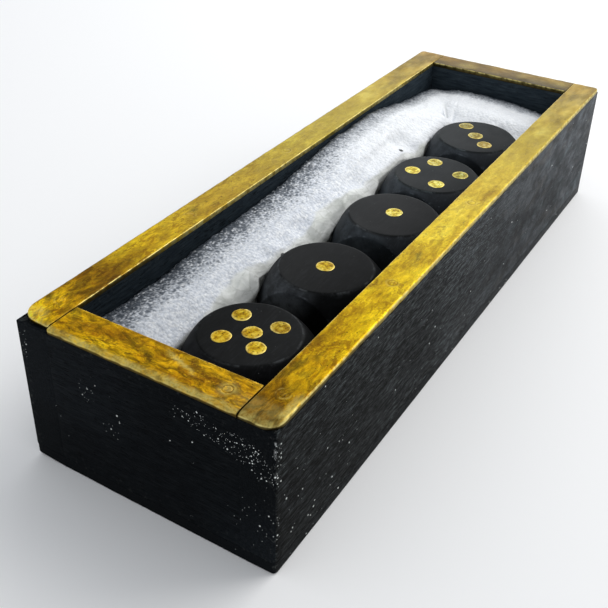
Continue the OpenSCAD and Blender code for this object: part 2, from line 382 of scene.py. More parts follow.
        # filed-over ends of the pins
        if along == "x":
            a = m.math("WRAP", X, -17.0, 17.0)
            b = m.math("SUBTRACT", m.math("ABSOLUTE", Y), 21.3)
        else:
            a = m.math("SUBTRACT", m.math("ABSOLUTE", X), 71.5)
            b = m.math("SUBTRACT", m.math("ABSOLUTE", Y), 14.0)
        r = m.math("SQRT", m.math("ADD", m.math("MULTIPLY", a, a), m.math("MULTIPLY", b, b)))
        r = m.math("ADD", r, m.math("MULTIPLY", m.math("SUBTRACT", mid, 0.5), 0.5))
        broken = m.step(m.noise((0.5,) * 3, detail=3, rough=0.6, loc=(5, 8, 3)), 0.44, 0.56, 0.10, 1.0)
        ring = m.math("MULTIPLY", m.step(m.math("ABSOLUTE", m.math("SUBTRACT", r, 0.82)), 0.20, 0.04), broken)
        if along == "y":
            broken = m.math("MULTIPLY", broken, m.step(Y, 4.0, 8.0, 1.0, 0.2))
            ring = m.math("MULTIPLY", ring, m.step(Y, 4.0, 8.0, 1.0, 0.2))
        broken = m.math("MULTIPLY", broken, m.step(X, 10.0, 30.0, 1.0, 0.2))
        ring = m.math("MULTIPLY", ring, m.step(X, 10.0, 30.0, 1.0, 0.2))
        base = m.mix(m.math("MULTIPLY", ring, 0.45), base, (0.13, 0.075, 0.010))
        halo = m.math("MULTIPLY", m.step(m.math("ABSOLUTE", m.math("SUBTRACT", r, 1.12)), 0.26, 0.05), broken)
        base = m.mix(m.math("MULTIPLY", halo, 0.28), base, (0.60, 0.47, 0.12))
        height = m.math("SUBTRACT", height, m.math("MULTIPLY", ring, 0.5))
    m.set(Base_Color=base, Metallic=0.95, Roughness=m.math("ADD", m.math("MULTIPLY", mid, 0.35), 0.28), Normal=m.bump(height, 0.06, 0.8))
    m.b.inputs["Specular IOR Level"].default_value = 0.35
    m.put(m.b.inputs["Specular Tint"], m.mix(m.step(X, -66, 5), (1.0, 0.90, 0.66), (1.0, 0.97, 0.88)))
    return m.m


def wood_material(name, along="x"):
    m = Mat(name)
    X, Y, Z = m.xyz()
    g = (0.24, 2.1, 2.1) if along == "x" else (2.1, 0.24, 2.1)
    g2 = (0.60, 3.8, 3.8) if along == "x" else (3.8, 0.60, 3.8)
    streak = m.noise(g, detail=4, rough=0.6, distortion=0.25)
    patch = m.noise((0.06, 0.14, 0.14), detail=4, rough=0.6, distortion=0.5, loc=(4, 4, 4))
    fibre = m.noise(g2, detail=3, rough=0.6, distortion=0.3, loc=(3, 1, 7))
    pores = m.step(m.noise((0.6, 4.4, 4.4) if along == "x" else (4.4, 0.6, 4.4), detail=2, rough=0.5, loc=(9, 2, 2)), 0.57, 0.68)
    # the ends and the inside hold more of the stain; the ends are painted near black, which on the -X end, turned from
    # the light, is painted shade as well
    ends = m.step(m.math("ABSOLUTE", X), 74.45, 74.8)
    outside = m.step(m.math("ABSOLUTE", Y), 23.2, 24.0)
    grey = m.math("MULTIPLY", outside, m.math("SUBTRACT", 1.0, ends))
    far = m.step(X, -75, 60)
    inside = m.math("MULTIPLY", m.step(m.math("ABSOLUTE", X), 68.4, 68.1), m.step(m.math("ABSOLUTE", Y), 18.5, 18.2))
    deep = m.ramp(streak, (0.3, (0.0016, 0.0022, 0.0030)), (0.5, (0.0036, 0.0048, 0.0060)), (0.75, (0.0080, 0.0094, 0.0108)))
    deep = m.mix(inside, deep, m.ramp(streak, (0.3, (0.0100, 0.0150, 0.0210)), (0.5, (0.0185, 0.0262, 0.0330)), (0.75, (0.0320, 0.0430, 0.0520))))
    # painted light: the inside walls are darker toward the -X end and lighter toward the +X end, where the light comes
    # from
    deep = m.mix(inside, deep, m.mix(1.0, deep, m.step(X, -62, 45, 0.72, 1.45), kind="MULTIPLY"))
    blotch = m.noise((0.22, 0.55, 0.55), detail=4, rough=0.65, distortion=0.8, loc=(6, 3, 1))
    mottle = m.math("ADD", m.math("MULTIPLY", streak, 0.62), m.math("MULTIPLY", blotch, 0.38))
    puff = m.noise((0.16, 0.34, 0.34), detail=5, rough=0.60, distortion=0.6, loc=(2, 8, 5))
    t = m.step(X, -30, 40, 0.0, 0.95)
    mottle = m.math("ADD", m.math("MULTIPLY", mottle, m.math("SUBTRACT", 1.0, t)), m.math("MULTIPLY", puff, t))
    dust_and_sheen = m.ramp(mottle, (0.36, (0.0016, 0.0022, 0.0022)), (0.47, (0.0070, 0.0086, 0.0084)), (0.54, (0.0150, 0.0172, 0.0170)), (0.66, (0.0420, 0.0460, 0.0455)))
    cloud = m.ramp(mottle, (0.36, (0.0150, 0.0165, 0.0190)), (0.50, (0.0360, 0.0385, 0.0440)), (0.66, (0.0740, 0.0770, 0.0850)))
    # toward the +X end the side turns to lighter clouds: blurred grain, and a painted sheen where the side catches the
    # light from that end
    dust_and_sheen = m.mix(m.math("MULTIPLY", far, 0.80), dust_and_sheen, cloud)
    base = m.mix(grey, deep, dust_and_sheen)
    # the near end is a little lighter low down by the front corner, and high up toward the back
    low = m.math("MULTIPLY", m.step(Y, -8, -22), m.step(Z, 16, 2))
    high = m.math("MULTIPLY", m.step(Y, -4, 12), m.step(Z, 8, 17))
    gain = m.math("ADD", 1.0, m.math("ADD", low, m.math("MULTIPLY", high, 0.6)))
    base = m.mix(m.step(X, -74.3, -74.8), base, gain, kind="MULTIPLY")
    base = m.mix(m.math("MULTIPLY", m.step(patch, 0.47, 0.66, 0.0, 0.45), grey), base, (0.036, 0.038, 0.040))
    base = m.mix(m.math("MULTIPLY", m.step(patch, 0.50, 0.34, 0.0, 0.50), grey), base, (0.0070, 0.0085, 0.0090))
    light = m.math("MULTIPLY", m.math("MULTIPLY", m.step(fibre, 0.53, 0.66), m.step(X, -30, 40, 1.0, 0.25)), m.math("ADD", m.math("MULTIPLY", grey, 0.62), 0.03))
    base = m.mix(light, base, (0.110, 0.122, 0.120))
    # rough streaks along the grain, turning to clouds toward the +X end
    combo = m.math("ADD", m.math("MULTIPLY", streak, 0.55), m.math("MULTIPLY", fibre, 0.45))
    lump = m.math("ADD", m.math("MULTIPLY", m.step(combo, 0.38, 0.64, 0.15, 2.3), m.math("SUBTRACT", 1.0, t)), m.math("MULTIPLY", m.step(m.noise((0.20, 0.34, 0.30), detail=4, rough=0.6, distortion=0.7, loc=(1, 6, 9)), 0.38, 0.64, 0.66, 1.40), t))
    base = m.mix(grey, base, lump, kind="MULTIPLY")
    # faint brown and green in the clouds
    hue = m.noise((0.10, 0.28, 0.28), detail=3, rough=0.5, loc=(8, 1, 3))
    base = m.mix(m.math("MULTIPLY", grey, m.math("MULTIPLY", m.step(hue, 0.54, 0.64), t)), base, (1.12, 0.99, 0.88), kind="MULTIPLY")
    base = m.mix(m.math("MULTIPLY", grey, m.math("MULTIPLY", m.step(hue, 0.46, 0.36), t)), base, (0.93, 1.03, 1.02), kind="MULTIPLY")
    # the outer long faces take the painted light of SIDE_LENGTH and SIDE_HEIGHT
    base = m.toned(base, grey)
    # the board under the walls is darker
    base = m.mix(m.math("MULTIPLY", m.step(Z, 2.65, 2.40), 0.65), base, (0.0050, 0.0058, 0.0068))
    base = m.mix(m.math("MULTIPLY", pores, m.step(X, -30, 40, 0.80, 0.18)), base, (0.0014, 0.0017, 0.0022))
    edge = m.attr("edge")
    chips = m.math("MULTIPLY", edge, m.step(m.noise((1.0,) * 3, detail=5, rough=0.7, loc=(1, 2, 3)), 0.55, 0.66))
    base = m.mix(m.math("MULTIPLY", chips, 0.5), base, (0.10, 0.105, 0.10))
    # white dust: dots in a few clusters
    vor = m.voronoi((2.6,) * 3, loc=(0.3, 0.7, 0.2))
    rgb = m.n("ShaderNodeSeparateColor", {0: vor.outputs["Color"]}).outputs
    size = m.math("ADD", m.math("MULTIPLY", m.math("POWER", rgb[0], 3.0), 0.40), 0.12)
    dot = m.step(m.math("SUBTRACT", vor.outputs["Distance"], size), 0.05, -0.05)
    total = None

    def cluster(cy, cz, ay, az, tilt, weight):
        c, s = math.cos(math.radians(tilt)), math.sin(math.radians(tilt))
        dy, dz = m.math("SUBTRACT", Y, cy), m.math("SUBTRACT", Z, cz)
        u = m.math("DIVIDE", m.math("ADD", m.math("MULTIPLY", dy, c), m.math("MULTIPLY", dz, s)), ay)
        v = m.math("DIVIDE", m.math("SUBTRACT", m.math("MULTIPLY", dz, c), m.math("MULTIPLY", dy, s)), az)
        d = m.math("ADD", m.math("MULTIPLY", u, u), m.math("MULTIPLY", v, v))
        return m.math("MULTIPLY", m.step(d, 1.3, 0.2), weight)

    for args in ((-18.5, 23.0, 7.0, 2.6, 12, 1.0), (-12.0, 24.3, 8.0, 2.0, 3, 0.75), (-22.5, 20.5, 3.0, 2.6, 35, 0.9), (-20.5, 10.0, 5.5, 5.5, -20, 0.16), (10.5, 20.8, 2.4, 3.4, 0, 0.34),
                 (5.5, 15.5, 3.2, 2.6, -40, 0.24), (23.4, 24.5, 0.9, 3.5, 0, 0.6), (-24.2, 23.0, 0.7, 4.0, 0, 0.5)):
        k = cluster(*args)
        total = k if total is None else m.math("MAXIMUM", total, k)
    on_end = m.math("MULTIPLY", total, m.step(X, -73.2, -73.9))
    side = m.math("MULTIPLY", m.math("MULTIPLY", m.step(X, -40, -62, 0.0, 0.012), m.step(Y, -23.8, -24.3)), m.step(Z, 27, 16))
    sparse = m.math("MAXIMUM", m.math("MAXIMUM", on_end, side), m.math("MULTIPLY", m.math("SUBTRACT", 1.0, inside), 0.003))
    dust = m.math("MULTIPLY", dot, m.math("LESS_THAN", rgb[1], sparse))
    base = m.mix(m.math("MULTIPLY", dust, 0.92), base, (0.84, 0.88, 0.86))
    # rubbed white along the near upright corner
    near_edge = m.math("MULTIPLY", m.step(m.math("ADD", X, Y), -98.98, -99.09), m.step(Z, 20.0, 22.5))
    pale_edge = m.math("MULTIPLY", near_edge, m.step(m.noise((1.4, 1.4, 0.8), detail=4, rough=0.7, loc=(2, 7, 7)), 0.53, 0.60))
    base = m.mix(m.math("MULTIPLY", pale_edge, 0.80), base, (0.55, 0.57, 0.57))
    height = m.math("ADD", m.math("MULTIPLY", streak, 0.6), m.math("MULTIPLY", fibre, 0.7))
    height = m.math("SUBTRACT", height, m.math("MULTIPLY", pores, 0.8))
    height = m.math("MULTIPLY", height, m.math("SUBTRACT", 1.0, m.math("MULTIPLY", m.math("MULTIPLY", t, grey), 0.88)))
    m.set(Base_Color=base, Roughness=m.math("ADD", m.math("MULTIPLY", streak, 0.25), 0.48), Normal=m.bump(height, 0.12, 0.8))
    m.put(m.b.inputs["Specular IOR Level"], m.math("ADD", m.math("MULTIPLY", m.math("MULTIPLY", m.math("MULTIPLY", grey, 0.10), m.attr("tg")), lump), 0.02))
    return m.m


def die_material(name):
    m = Mat(name)
    grain = m.noise((0.5, 0.5, 3.5), detail=4, rough=0.6, distortion=0.4)
    cloud = m.noise((0.16,) * 3, detail=4, rough=0.6)
    fine = m.noise((5.0,) * 3, detail=2, rough=0.6)
    X, Y, Z = m.xyz()
    base = m.ramp(grain, (0.3, (0.0040, 0.0045, 0.0046)), (0.7, (0.0085, 0.0090, 0.0092)))
    # painted light: the dice are lighter toward the +X end, where the light comes from
    base = m.mix(m.step(X, -58, 45, 0.0, 0.75), base, (0.022, 0.0225, 0.0245))
    base = m.mix(m.step(cloud, 0.50, 0.75, 0.0, 0.5), base, (0.017, 0.0175, 0.0185))
    edge = m.attr("edge")
    # the worn arris is painted pale, partly as a painted rim highlight
    pale_edge = m.math("MULTIPLY", edge, m.step(m.noise((0.35,) * 3, detail=4, rough=0.65, loc=(3, 3, 8)), 0.48, 0.68))
    base = m.mix(m.math("MULTIPLY", pale_edge, 0.55), base, (0.17, 0.175, 0.185))
    sc = m.step(m.noise((0.25, 2.6, 2.6), detail=3, rough=0.6, distortion=0.7, loc=(1, 5, 2)), 0.66, 0.76)
    base = m.mix(m.math("MULTIPLY", sc, 0.18), base, (0.12, 0.125, 0.13))
    haze = m.attr("haze")
    base = m.mix(m.math("MULTIPLY", haze, m.step(m.noise((0.45,) * 3, detail=5, rough=0.65, loc=(8, 8, 2)), 0.35, 0.65, 0.3, 1.0)), base, (0.085, 0.088, 0.092))
    base = m.mix(m.step(m.noise((0.30, 1.9, 1.2), detail=4, rough=0.65, distortion=0.6, loc=(4, 2, 6)), 0.48, 0.72, 0.0, 0.35), base, (0.030, 0.031, 0.034))
    vor = m.voronoi((1.1,) * 3, loc=(0.5, 0.1, 0.9))
    pick = m.n("ShaderNodeSeparateColor", {0: vor.outputs["Color"]}).outputs[1]
    dot = m.math("MULTIPLY", m.step(vor.outputs["Distance"], 0.13, 0.05), m.step(pick, 0.90, 0.93))
    base = m.mix(m.math("MULTIPLY", dot, 0.5), base, (0.26, 0.27, 0.27))
    height = m.math("ADD", m.math("MULTIPLY", grain, 0.5), m.math("MULTIPLY", fine, 0.25))
    base = m.toned(base)
    m.set(Base_Color=base, Roughness=m.math("ADD", m.math("MULTIPLY", cloud, 0.25), 0.38), Normal=m.bump(height, 0.04, 0.5))
    m.put(m.b.inputs["Specular IOR Level"], m.math("MULTIPLY", m.attr("tg"), 0.09))
    return m.m


def foam_material(name, specks=()):
    """specks: places and radii of dark specks, in millimetres."""
    m = Mat(name)
    skin, dens, shade, glow = m.attr("skin"), m.attr("dens"), m.attr("shade"), m.attr("glow")
    X, Y, Z = m.xyz()
    # bubbles: the walls between them catch the light first, the middles last
    big = m.voronoi((1.05,) * 3, feature="DISTANCE_TO_EDGE", loc=(4.4, 1.2, 3.3)).outputs["Distance"]
    big_f1 = m.voronoi((1.05,) * 3, loc=(4.4, 1.2, 3.3))
    rnd = m.n("ShaderNodeSeparateColor", {0: big_f1.outputs["Color"]}).outputs
    small = m.voronoi((1.7,) * 3, loc=(1.4, 7.2, 0.3))
    rnd2 = m.n("ShaderNodeSeparateColor", {0: small.outputs["Color"]}).outputs
    rim = m.step(big, 0.02, 0.30)
    spot = m.step(small.outputs["Distance"], 0.62, 0.10)
    grit = m.noise((1.9,) * 3, detail=2, rough=0.55, loc=(5, 5, 5))
    p = m.math("MULTIPLY", rim, 0.24)
    p = m.math("ADD", p, m.math("MULTIPLY", m.math("SUBTRACT", 1.0, spot), 0.25))
    p = m.math("ADD", p, m.math("MULTIPLY", rnd[0], 0.18))
    p = m.math("ADD", p, m.math("MULTIPLY", rnd2[1], 0.20))
    p = m.math("ADD", 0.42, m.math("MULTIPLY", m.math("SUBTRACT", p, 0.42), m.step(X, -8, 24, 1.0, 0.30)))
    bright = m.step(m.math("SUBTRACT", dens, p), -0.32, 0.26)
    white = m.mix(m.math("MAXIMUM", m.step(rnd2[0], 0.2, 0.9), m.step(X, -5, 20, 0.0, 0.75)), (0.80, 0.835, 0.89), (0.96, 0.98, 1.0))
    white = m.mix(m.math("MULTIPLY", m.step(grit, 0.36, 0.62, 0.70, 0.0), m.step(X, -10, 18, 1.0, 0.15)), white, (0.56, 0.60, 0.67))
    dark = m.mix(m.step(dens, 0.05, 0.50), (0.032, 0.041, 0.053), (0.165, 0.188, 0.222))
    film = m.mix(bright, dark, white)
    glint = m.math("MULTIPLY", m.step(small.outputs["Distance"], 0.26, 0.10), m.step(rnd2[2], 0.70, 0.80))
    film = m.mix(m.math("MULTIPLY", m.math("MULTIPLY", glint, m.step(X, -8, 24, 1.0, 0.3)), m.step(dens, 0.05, 0.30, 0.25, 0.85)), film, (0.95, 0.98, 1.0))
    cream = m.ramp(m.noise((0.30, 0.30, 0.30), detail=4, rough=0.6), (0.3, (0.62, 0.64, 0.60)), (0.55, (0.82, 0.835, 0.81)), (0.75, (0.95, 0.96, 0.95)))
    film_line = m.step(m.noise((0.35, 1.3, 1.3), detail=3, rough=0.6, distortion=0.8, loc=(7, 2, 2)), 0.56, 0.66)
    cream = m.mix(m.math("MULTIPLY", film_line, 0.38), cream, (0.42, 0.44, 0.40))
    # painted shade of the crumpled film: facets of different brightness, and dark lines along the folds
    crumple = m.voronoi((0.30,) * 3, loc=(3, 3, 1))
    facet = m.n("ShaderNodeSeparateColor", {0: crumple.outputs["Color"]}).outputs[0]
    fold = m.step(m.voronoi((0.30,) * 3, feature="DISTANCE_TO_EDGE", loc=(3, 3, 1)).outputs["Distance"], 0.07, 0.01)
    cream = m.mix(1.0, cream, m.step(facet, 0.1, 0.9, 0.84, 1.04), kind="MULTIPLY")
    cream = m.mix(m.math("MULTIPLY", fold, 0.30), cream, (0.46, 0.47, 0.43))
    cream = m.mix(shade, cream, (0.17, 0.185, 0.175))
    base = m.mix(skin, film, cream)
    base = m.mix(1.0, base, glow, kind="MULTIPLY")
    for sx, sy, sr in specks:
        dx, dy = m.math("SUBTRACT", X, sx), m.math("SUBTRACT", Y, sy)
        du = m.math("MULTIPLY", m.math("ADD", m.math("MULTIPLY", dx, 0.913), m.math("MULTIPLY", dy, 0.407)), 0.55)
        dv = m.math("SUBTRACT", m.math("MULTIPLY", dy, 0.913), m.math("MULTIPLY", dx, 0.407))
        rr = m.math("SQRT", m.math("ADD", m.math("MULTIPLY", du, du), m.math("MULTIPLY", dv, dv)))
        base = m.mix(m.math("MULTIPLY", m.step(rr, sr, sr * 0.75), m.step(Z, 19.6, 20.4)), base, (0.02, 0.02, 0.022))
    rough = m.math("SUBTRACT", 1.0, skin)
    height = m.math("MULTIPLY", rough, m.math("SUBTRACT", 1.0, small.outputs["Distance"]))
    height = m.math("ADD", height, m.math("MULTIPLY", m.math("MULTIPLY", skin, m.noise((0.35,) * 3, detail=4, rough=0.6, distortion=1.0)), 0.9))
    m.set(Base_Color=base, Roughness=m.math("SUBTRACT", 0.55, m.math("MULTIPLY", rnd2[1], 0.15)), Normal=m.bump(height, 0.16, 0.8))
    m.b.inputs["Subsurface Weight"].default_value = 0.15
    m.b.inputs["Subsurface Radius"].default_value = (1.0, 1.0, 1.0)
    m.b.inputs["Subsurface Scale"].default_value = 0.0006
    m.put(m.b.inputs["Specular IOR Level"], m.math("MULTIPLY", glow, 0.30))
    return m.m


BRASS_X = brass_material("brass_long", "x")
BRASS_Y = brass_material("brass_short", "y")
BRASS_PIP = brass_material("brass_pips", "x", pips=True)
WOOD_X = wood_material("wood_long", "x")
WOOD_Y = wood_material("wood_end", "y")
DIE = die_material("die_wood")

# ------------------------------------------------------------------ sizes
L2, W2 = 75.0, 24.5
IX, IY = 68.0, 18.1
BOARD, TOP, RIM = 2.5, 28.5, 29.5
DIE_A, DIE_R, DIE_Z, FACE_R = 19.0, math.hypot(9.5, 8.6), 16.55, 8.6
DICE = [(-54.9, -6.45, 2.0), (-31.0, -6.7, -1.5), (-6.9, -7.85, 0.5), (14.0, -7.5, -5.0), (37.1, -7.3, 1.0)]


# how the brass changes along each strip: the place, then factors on red, green and blue
STRIP_TONE = {
    "front": ((-74, 0.39, 0.30, 0.10), (-60, 1.02, 0.95, 0.25), (-46, 1.43, 1.60, 0.42), (-25, 1.14, 1.25, 0.70), (5, 0.87, 0.88, 0.55), (35, 0.64, 0.67, 0.56), (74, 0.39, 0.33, 0.28)),
    "back": ((-74, 1.90, 1.95, 0.85), (-58, 0.57, 0.44, 0.12), (-46, 1.52, 1.64, 0.78), (-30, 0.78, 0.72, 0.36), (0, 0.79, 0.84, 0.50), (22, 0.62, 0.64, 0.46), (45, 0.68, 0.69, 0.62), (60, 0.48, 0.45, 0.37), (74, 0.37, 0.30, 0.31)),
    "near": ((-18, 0.84, 0.69, 0.34), (0, 1.04, 0.93, 0.21), (18, 1.35, 1.32, 0.32)),
    "far": ((-18, 0.30, 0.26, 0.27), (18, 0.30, 0.23, 0.19)),
}
# painted light on the long side: brighter away from the -X end, and toward the rim
SIDE_LENGTH = ((-73, 0.24), (-60, 0.30), (-35, 0.38), (-25, 0.38), (-10, 0.70), (30, 0.90), (50, 1.10), (72, 1.50))
SIDE_HEIGHT = ((3.5, 1.06), (10, 0.74), (18, 0.98), (27, 1.26))


def tone_line(name, t):
    """Factors (n, 3) at places t along a strip."""
    v = np.array(STRIP_TONE[name], float)
    return np.stack([np.interp(t, v[:, 0], v[:, c]) for c in (1, 2, 3)], 1)


def tone_side(x, z):
    """Factors (n, 3) over the long side."""
    a, b = np.array(SIDE_LENGTH), np.array(SIDE_HEIGHT)
    f = np.interp(x, a[:, 0], a[:, 1]) * np.interp(z, b[:, 0], b[:, 1])
    return np.stack([0.93 * f, f, 1.04 * f], 1)


def tone_attrs(v):
    return {"tr": v[:, 0], "tg": v[:, 1], "tb": v[:, 2]}


# ------------------------------------------------------------------ wooden box
def block(name, node, x0, x1, y0, y1, z0, z1, radii, mat, low=((0.04, 0.0), (0.0, 0.05)), high=((0.0, 0.10), (0.08, 0.0)), seed=0, jitter=0.03, step=1.4, foot=None):
    p, nrm = outline(x0, x1, y0, y1, radii, step=step, jitter=jitter, seed=seed)
    levels = [(i, z0 + d) for i, d in low]
    if foot is not None:
        # rounded lower edge, worn more at some corners than at others
        f = foot(p)
        levels = [(f * (1 - math.sin(math.radians(t))), z0 + f * (1 - math.cos(math.radians(t)))) for t in (0, 18, 36, 54, 72, 90)]
    n_low = len(levels)
    zl = levels[-1][1]
    for k in range(1, 8):
        levels.append((0.0, zl + (z1 - high[0][1] - zl) * k / 8))
    levels += [(i, z1 - d) for i, d in high]
    V, F, ring = loft(p, nrm, levels)
    # worn where an outer corner turns, and along the lowest and highest edges
    corner = smooth(1.6, 0.2, L2 - np.abs(V[:, 0])) * smooth(1.6, 0.2, W2 - np.abs(V[:, 1]))
    e = np.maximum(corner, ((ring < n_low) | (ring >= len(levels) - len(high))) * 0.35)
    return make(name, V, F, "box", [node], [mat], {"edge": e, **tone_attrs(tone_side(V[:, 0], V[:, 2]))}, sharp=35)


def foot_radius(p):
    """Radius of the lower edge of the board: nearly square at the front near corner, most worn at the back near one."""
    a = np.hypot(p[:, 0] + L2, p[:, 1] + W2)
    b = np.hypot(p[:, 0] + L2, p[:, 1] - W2)
    r = 0.20 + 0.15 * np.exp(-(a / 4.0) ** 2) + 0.55 * np.exp(-(b / 3.5) ** 2)
    r = r + 0.06 * vnoise(np.c_[p, np.zeros(len(p))], 0.15, 44)
    return np.clip(r, 0.12, 1.2)


block("long_wall_front", "side_wall_front", -L2, L2, -W2, -IY, BOARD, TOP, (0.70, 0.5, 0.02, 0.02), WOOD_X, seed=1)
block("long_wall_back", "side_wall_back", -L2, L2, IY, W2, BOARD, TOP, (0.02, 0.02, 0.5, 0.30), WOOD_X, seed=2)
block("end_wall_left", "end_wall_near", -L2, -IX, -IY, IY, BOARD, TOP, (0.01,) * 4, WOOD_Y, seed=3, jitter=0.0)
block("end_wall_right", "end_wall_far", IX, L2, -IY, IY, BOARD, TOP, (0.01,) * 4, WOOD_Y, seed=4, jitter=0.0)
block("base_board", "bottom_board", -L2, L2, -W2, W2, 0.08, BOARD, (0.80, 0.5, 0.5, 0.50), WOOD_X, foot=foot_radius, high=((0.0, 0.10), (0.08, 0.0)), seed=5)


# ------------------------------------------------------------------ brass rim
# stains and wear seen from above: x, y, half length, half width, turn, strength, kind
MARKS = [
    (-71.5, -14.1, 1.6, 1.6, 0, 0.35, "pale"), (-69.1, -6.3, 0.9, 0.5, 40, 0.9, "brown"), (-70.2, -4.6, 3.2, 0.45, 70, 0.8, "pale"),
    (-69.7, -15.0, 0.9, 0.6, 0, 0.55, "brown"), (-69.5, -17.0, 0.6, 0.5, 0, 0.5, "brown"), (-71.0, 2.0, 4.5, 0.6, 62, 0.55, "dull"), (-70.0, 7.0, 5.0, 0.5, 75, 0.5, "brown"),
    (-71.5, -9.5, 1.4, 2.2, 20, 0.45, "brown"), (-72.0, 12.0, 1.6, 2.4, 0, 0.35, "brown"), (-69.3, 16.9, 1.6, 0.8, 30, 0.75, "dull"),
    (-68.3, -21.7, 0.5, 0.35, 0, 0.9, "brown"), (-67.0, -20.3, 1.8, 1.2, 20, 0.35, "brown"),
    (-62.0, -19.4, 3.6, 0.9, -12, 0.75, "dull"), (-58.5, -20.6, 2.0, 0.8, -25, 0.45, "dull"),
    (-56.2, -18.8, 3.6, 0.55, -62, 0.85, "brown"), (-53.6, -19.6, 2.6, 1.6, 0, 0.45, "brown"), (-49.5, -19.3, 4.5, 0.9, 4, 0.65, "brown"), (-45.0, -20.4, 3.2, 0.7, 8, 0.45, "brown"),
    (-35.6, -18.8, 1.9, 0.45, 10, 0.95, "brown"), (-34.2, -21.4, 1.0, 0.9, 0, 0.35, "brown"), (-24.0, -21.1, 1.5, 0.5, 20, 0.85, "dull"), (-26.5, -21.8, 1.2, 0.4, 20, 0.5, "dull"),
    (-38.0, -23.3, 6.0, 0.4, 2, 0.35, "brown"), (4.0, -22.8, 9.0, 0.5, 1, 0.45, "brown"), (26.0, -20.0, 5.0, 0.7, 2, 0.30, "brown"),
    (-60.5, -22.4, 3.0, 1.4, 0, 0.9, "pits"), (-66.0, -21.0, 2.0, 1.2, 0, 0.25, "pits"),
    (-72.3, -20.0, 1.7, 5.2, 0, 0.22, "pale"), (-71.2, -24.0, 3.8, 0.8, 4, 0.6, "pale"), (-73.6, -23.2, 0.8, 1.4, 0, 0.4, "dull"),
    (-72.6, 22.4, 1.6, 2.0, 0, 0.7, "pale"), (-68.8, 23.2, 1.7, 0.7, 20, 0.8, "dull"), (-65.3, 20.4, 1.8, 0.8, -30, 0.5, "brown"), (-62.0, 22.0, 2.5, 1.2, 10, 0.45, "brown"),
    (-59.3, 19.2, 3.5, 1.0, 5, 0.60, "brown"), (-53.0, 20.4, 4.5, 1.3, 10, 0.55, "brown"), (-46.0, 19.6, 5.0, 0.8, 4, 0.40, "brown"),
    (-24.9, 20.7, 0.45, 0.4, 0, 1.0, "brown"), (-32.2, 21.6, 0.9, 0.8, 0, 0.85, "dull"), (-34.0, 20.2, 3.2, 1.1, 8, 0.55, "brown"), (-30.0, 19.4, 4.0, 0.7, 5, 0.35, "brown"),
    (-40.0, 22.6, 0.5, 0.4, 0, 0.7, "dull"), (10.0, 21.5, 6.0, 0.9, 2, 0.25, "brown"), (45.0, 20.5, 7.0, 0.8, 2, 0.25, "dull"),
    (71.5, -9.0, 4.0, 9.0, 0, 0.42, "dull"), (71.5, 9.0, 4.0, 9.0, 0, 0.38, "dull"),
    (73.4, -2.1, 1.2, 2.6, 0, 0.75, "dull"), (72.4, -11.3, 1.4, 2.4, 0, 0.40, "dull"), (70.6, 9.5, 2.0, 2.6, 0, 0.24, "pale"), (71.6, -5.2, 1.6, 1.6, 0, 0.16, "pale"), (71.4, -15.5, 1.8, 1.6, 0, 0.16, "pale"), (71.0, 0.5, 1.6, 2.0, 0, 0.45, "brown"), (71.0, 4.0, 1.6, 4.0, 0, 0.35, "brown"), (71.5, 12.0, 1.4, 3.0, 0, 0.35, "brown"),
    (66.0, -20.5, 5.0, 1.0, 5, 0.35, "dull"), (70.0, 22.0, 3.0, 1.2, 0, 0.35, "dull"),
]


def painted(x, y):
    p = np.c_[x, y, np.zeros(len(x))]
    wx = x + 0.55 * fnoise(p, 0.9, 301, 3)
    wy = y + 0.55 * fnoise(p, 0.9, 302, 3)
    out = {k: np.zeros(len(x)) for k in ("pale", "brown", "dull", "pits")}
    for cx, cy, a, b, turn, strength, kind in MARKS:
        c, s_ = math.cos(math.radians(turn)), math.sin(math.radians(turn))
        u = ((wx - cx) * c + (wy - cy) * s_) / a
        v = (-(wx - cx) * s_ + (wy - cy) * c) / b
        out[kind] = np.maximum(out[kind], strength * smooth(1.5, 0.35, np.hypot(u, v)))
    return out


def spaced(length, first, last, step):
    """Places from 0 to length, close together at both ends."""
    a, d = [0.0], 0.06
    while a[-1] < first:
        a.append(a[-1] + d)
        d = min(d * 1.5, step)
    b, d = [0.0], 0.06
    while b[-1] < last:
        b.append(b[-1] + d)
        d = min(d * 1.5, step)
    n = max(1, int(round((length - a[-1] - b[-1]) / step)))
    mid = np.linspace(a[-1], length - b[-1], n + 1)
    return np.r_[a[:-1], mid, (length - np.array(b[::-1]))[1:]]


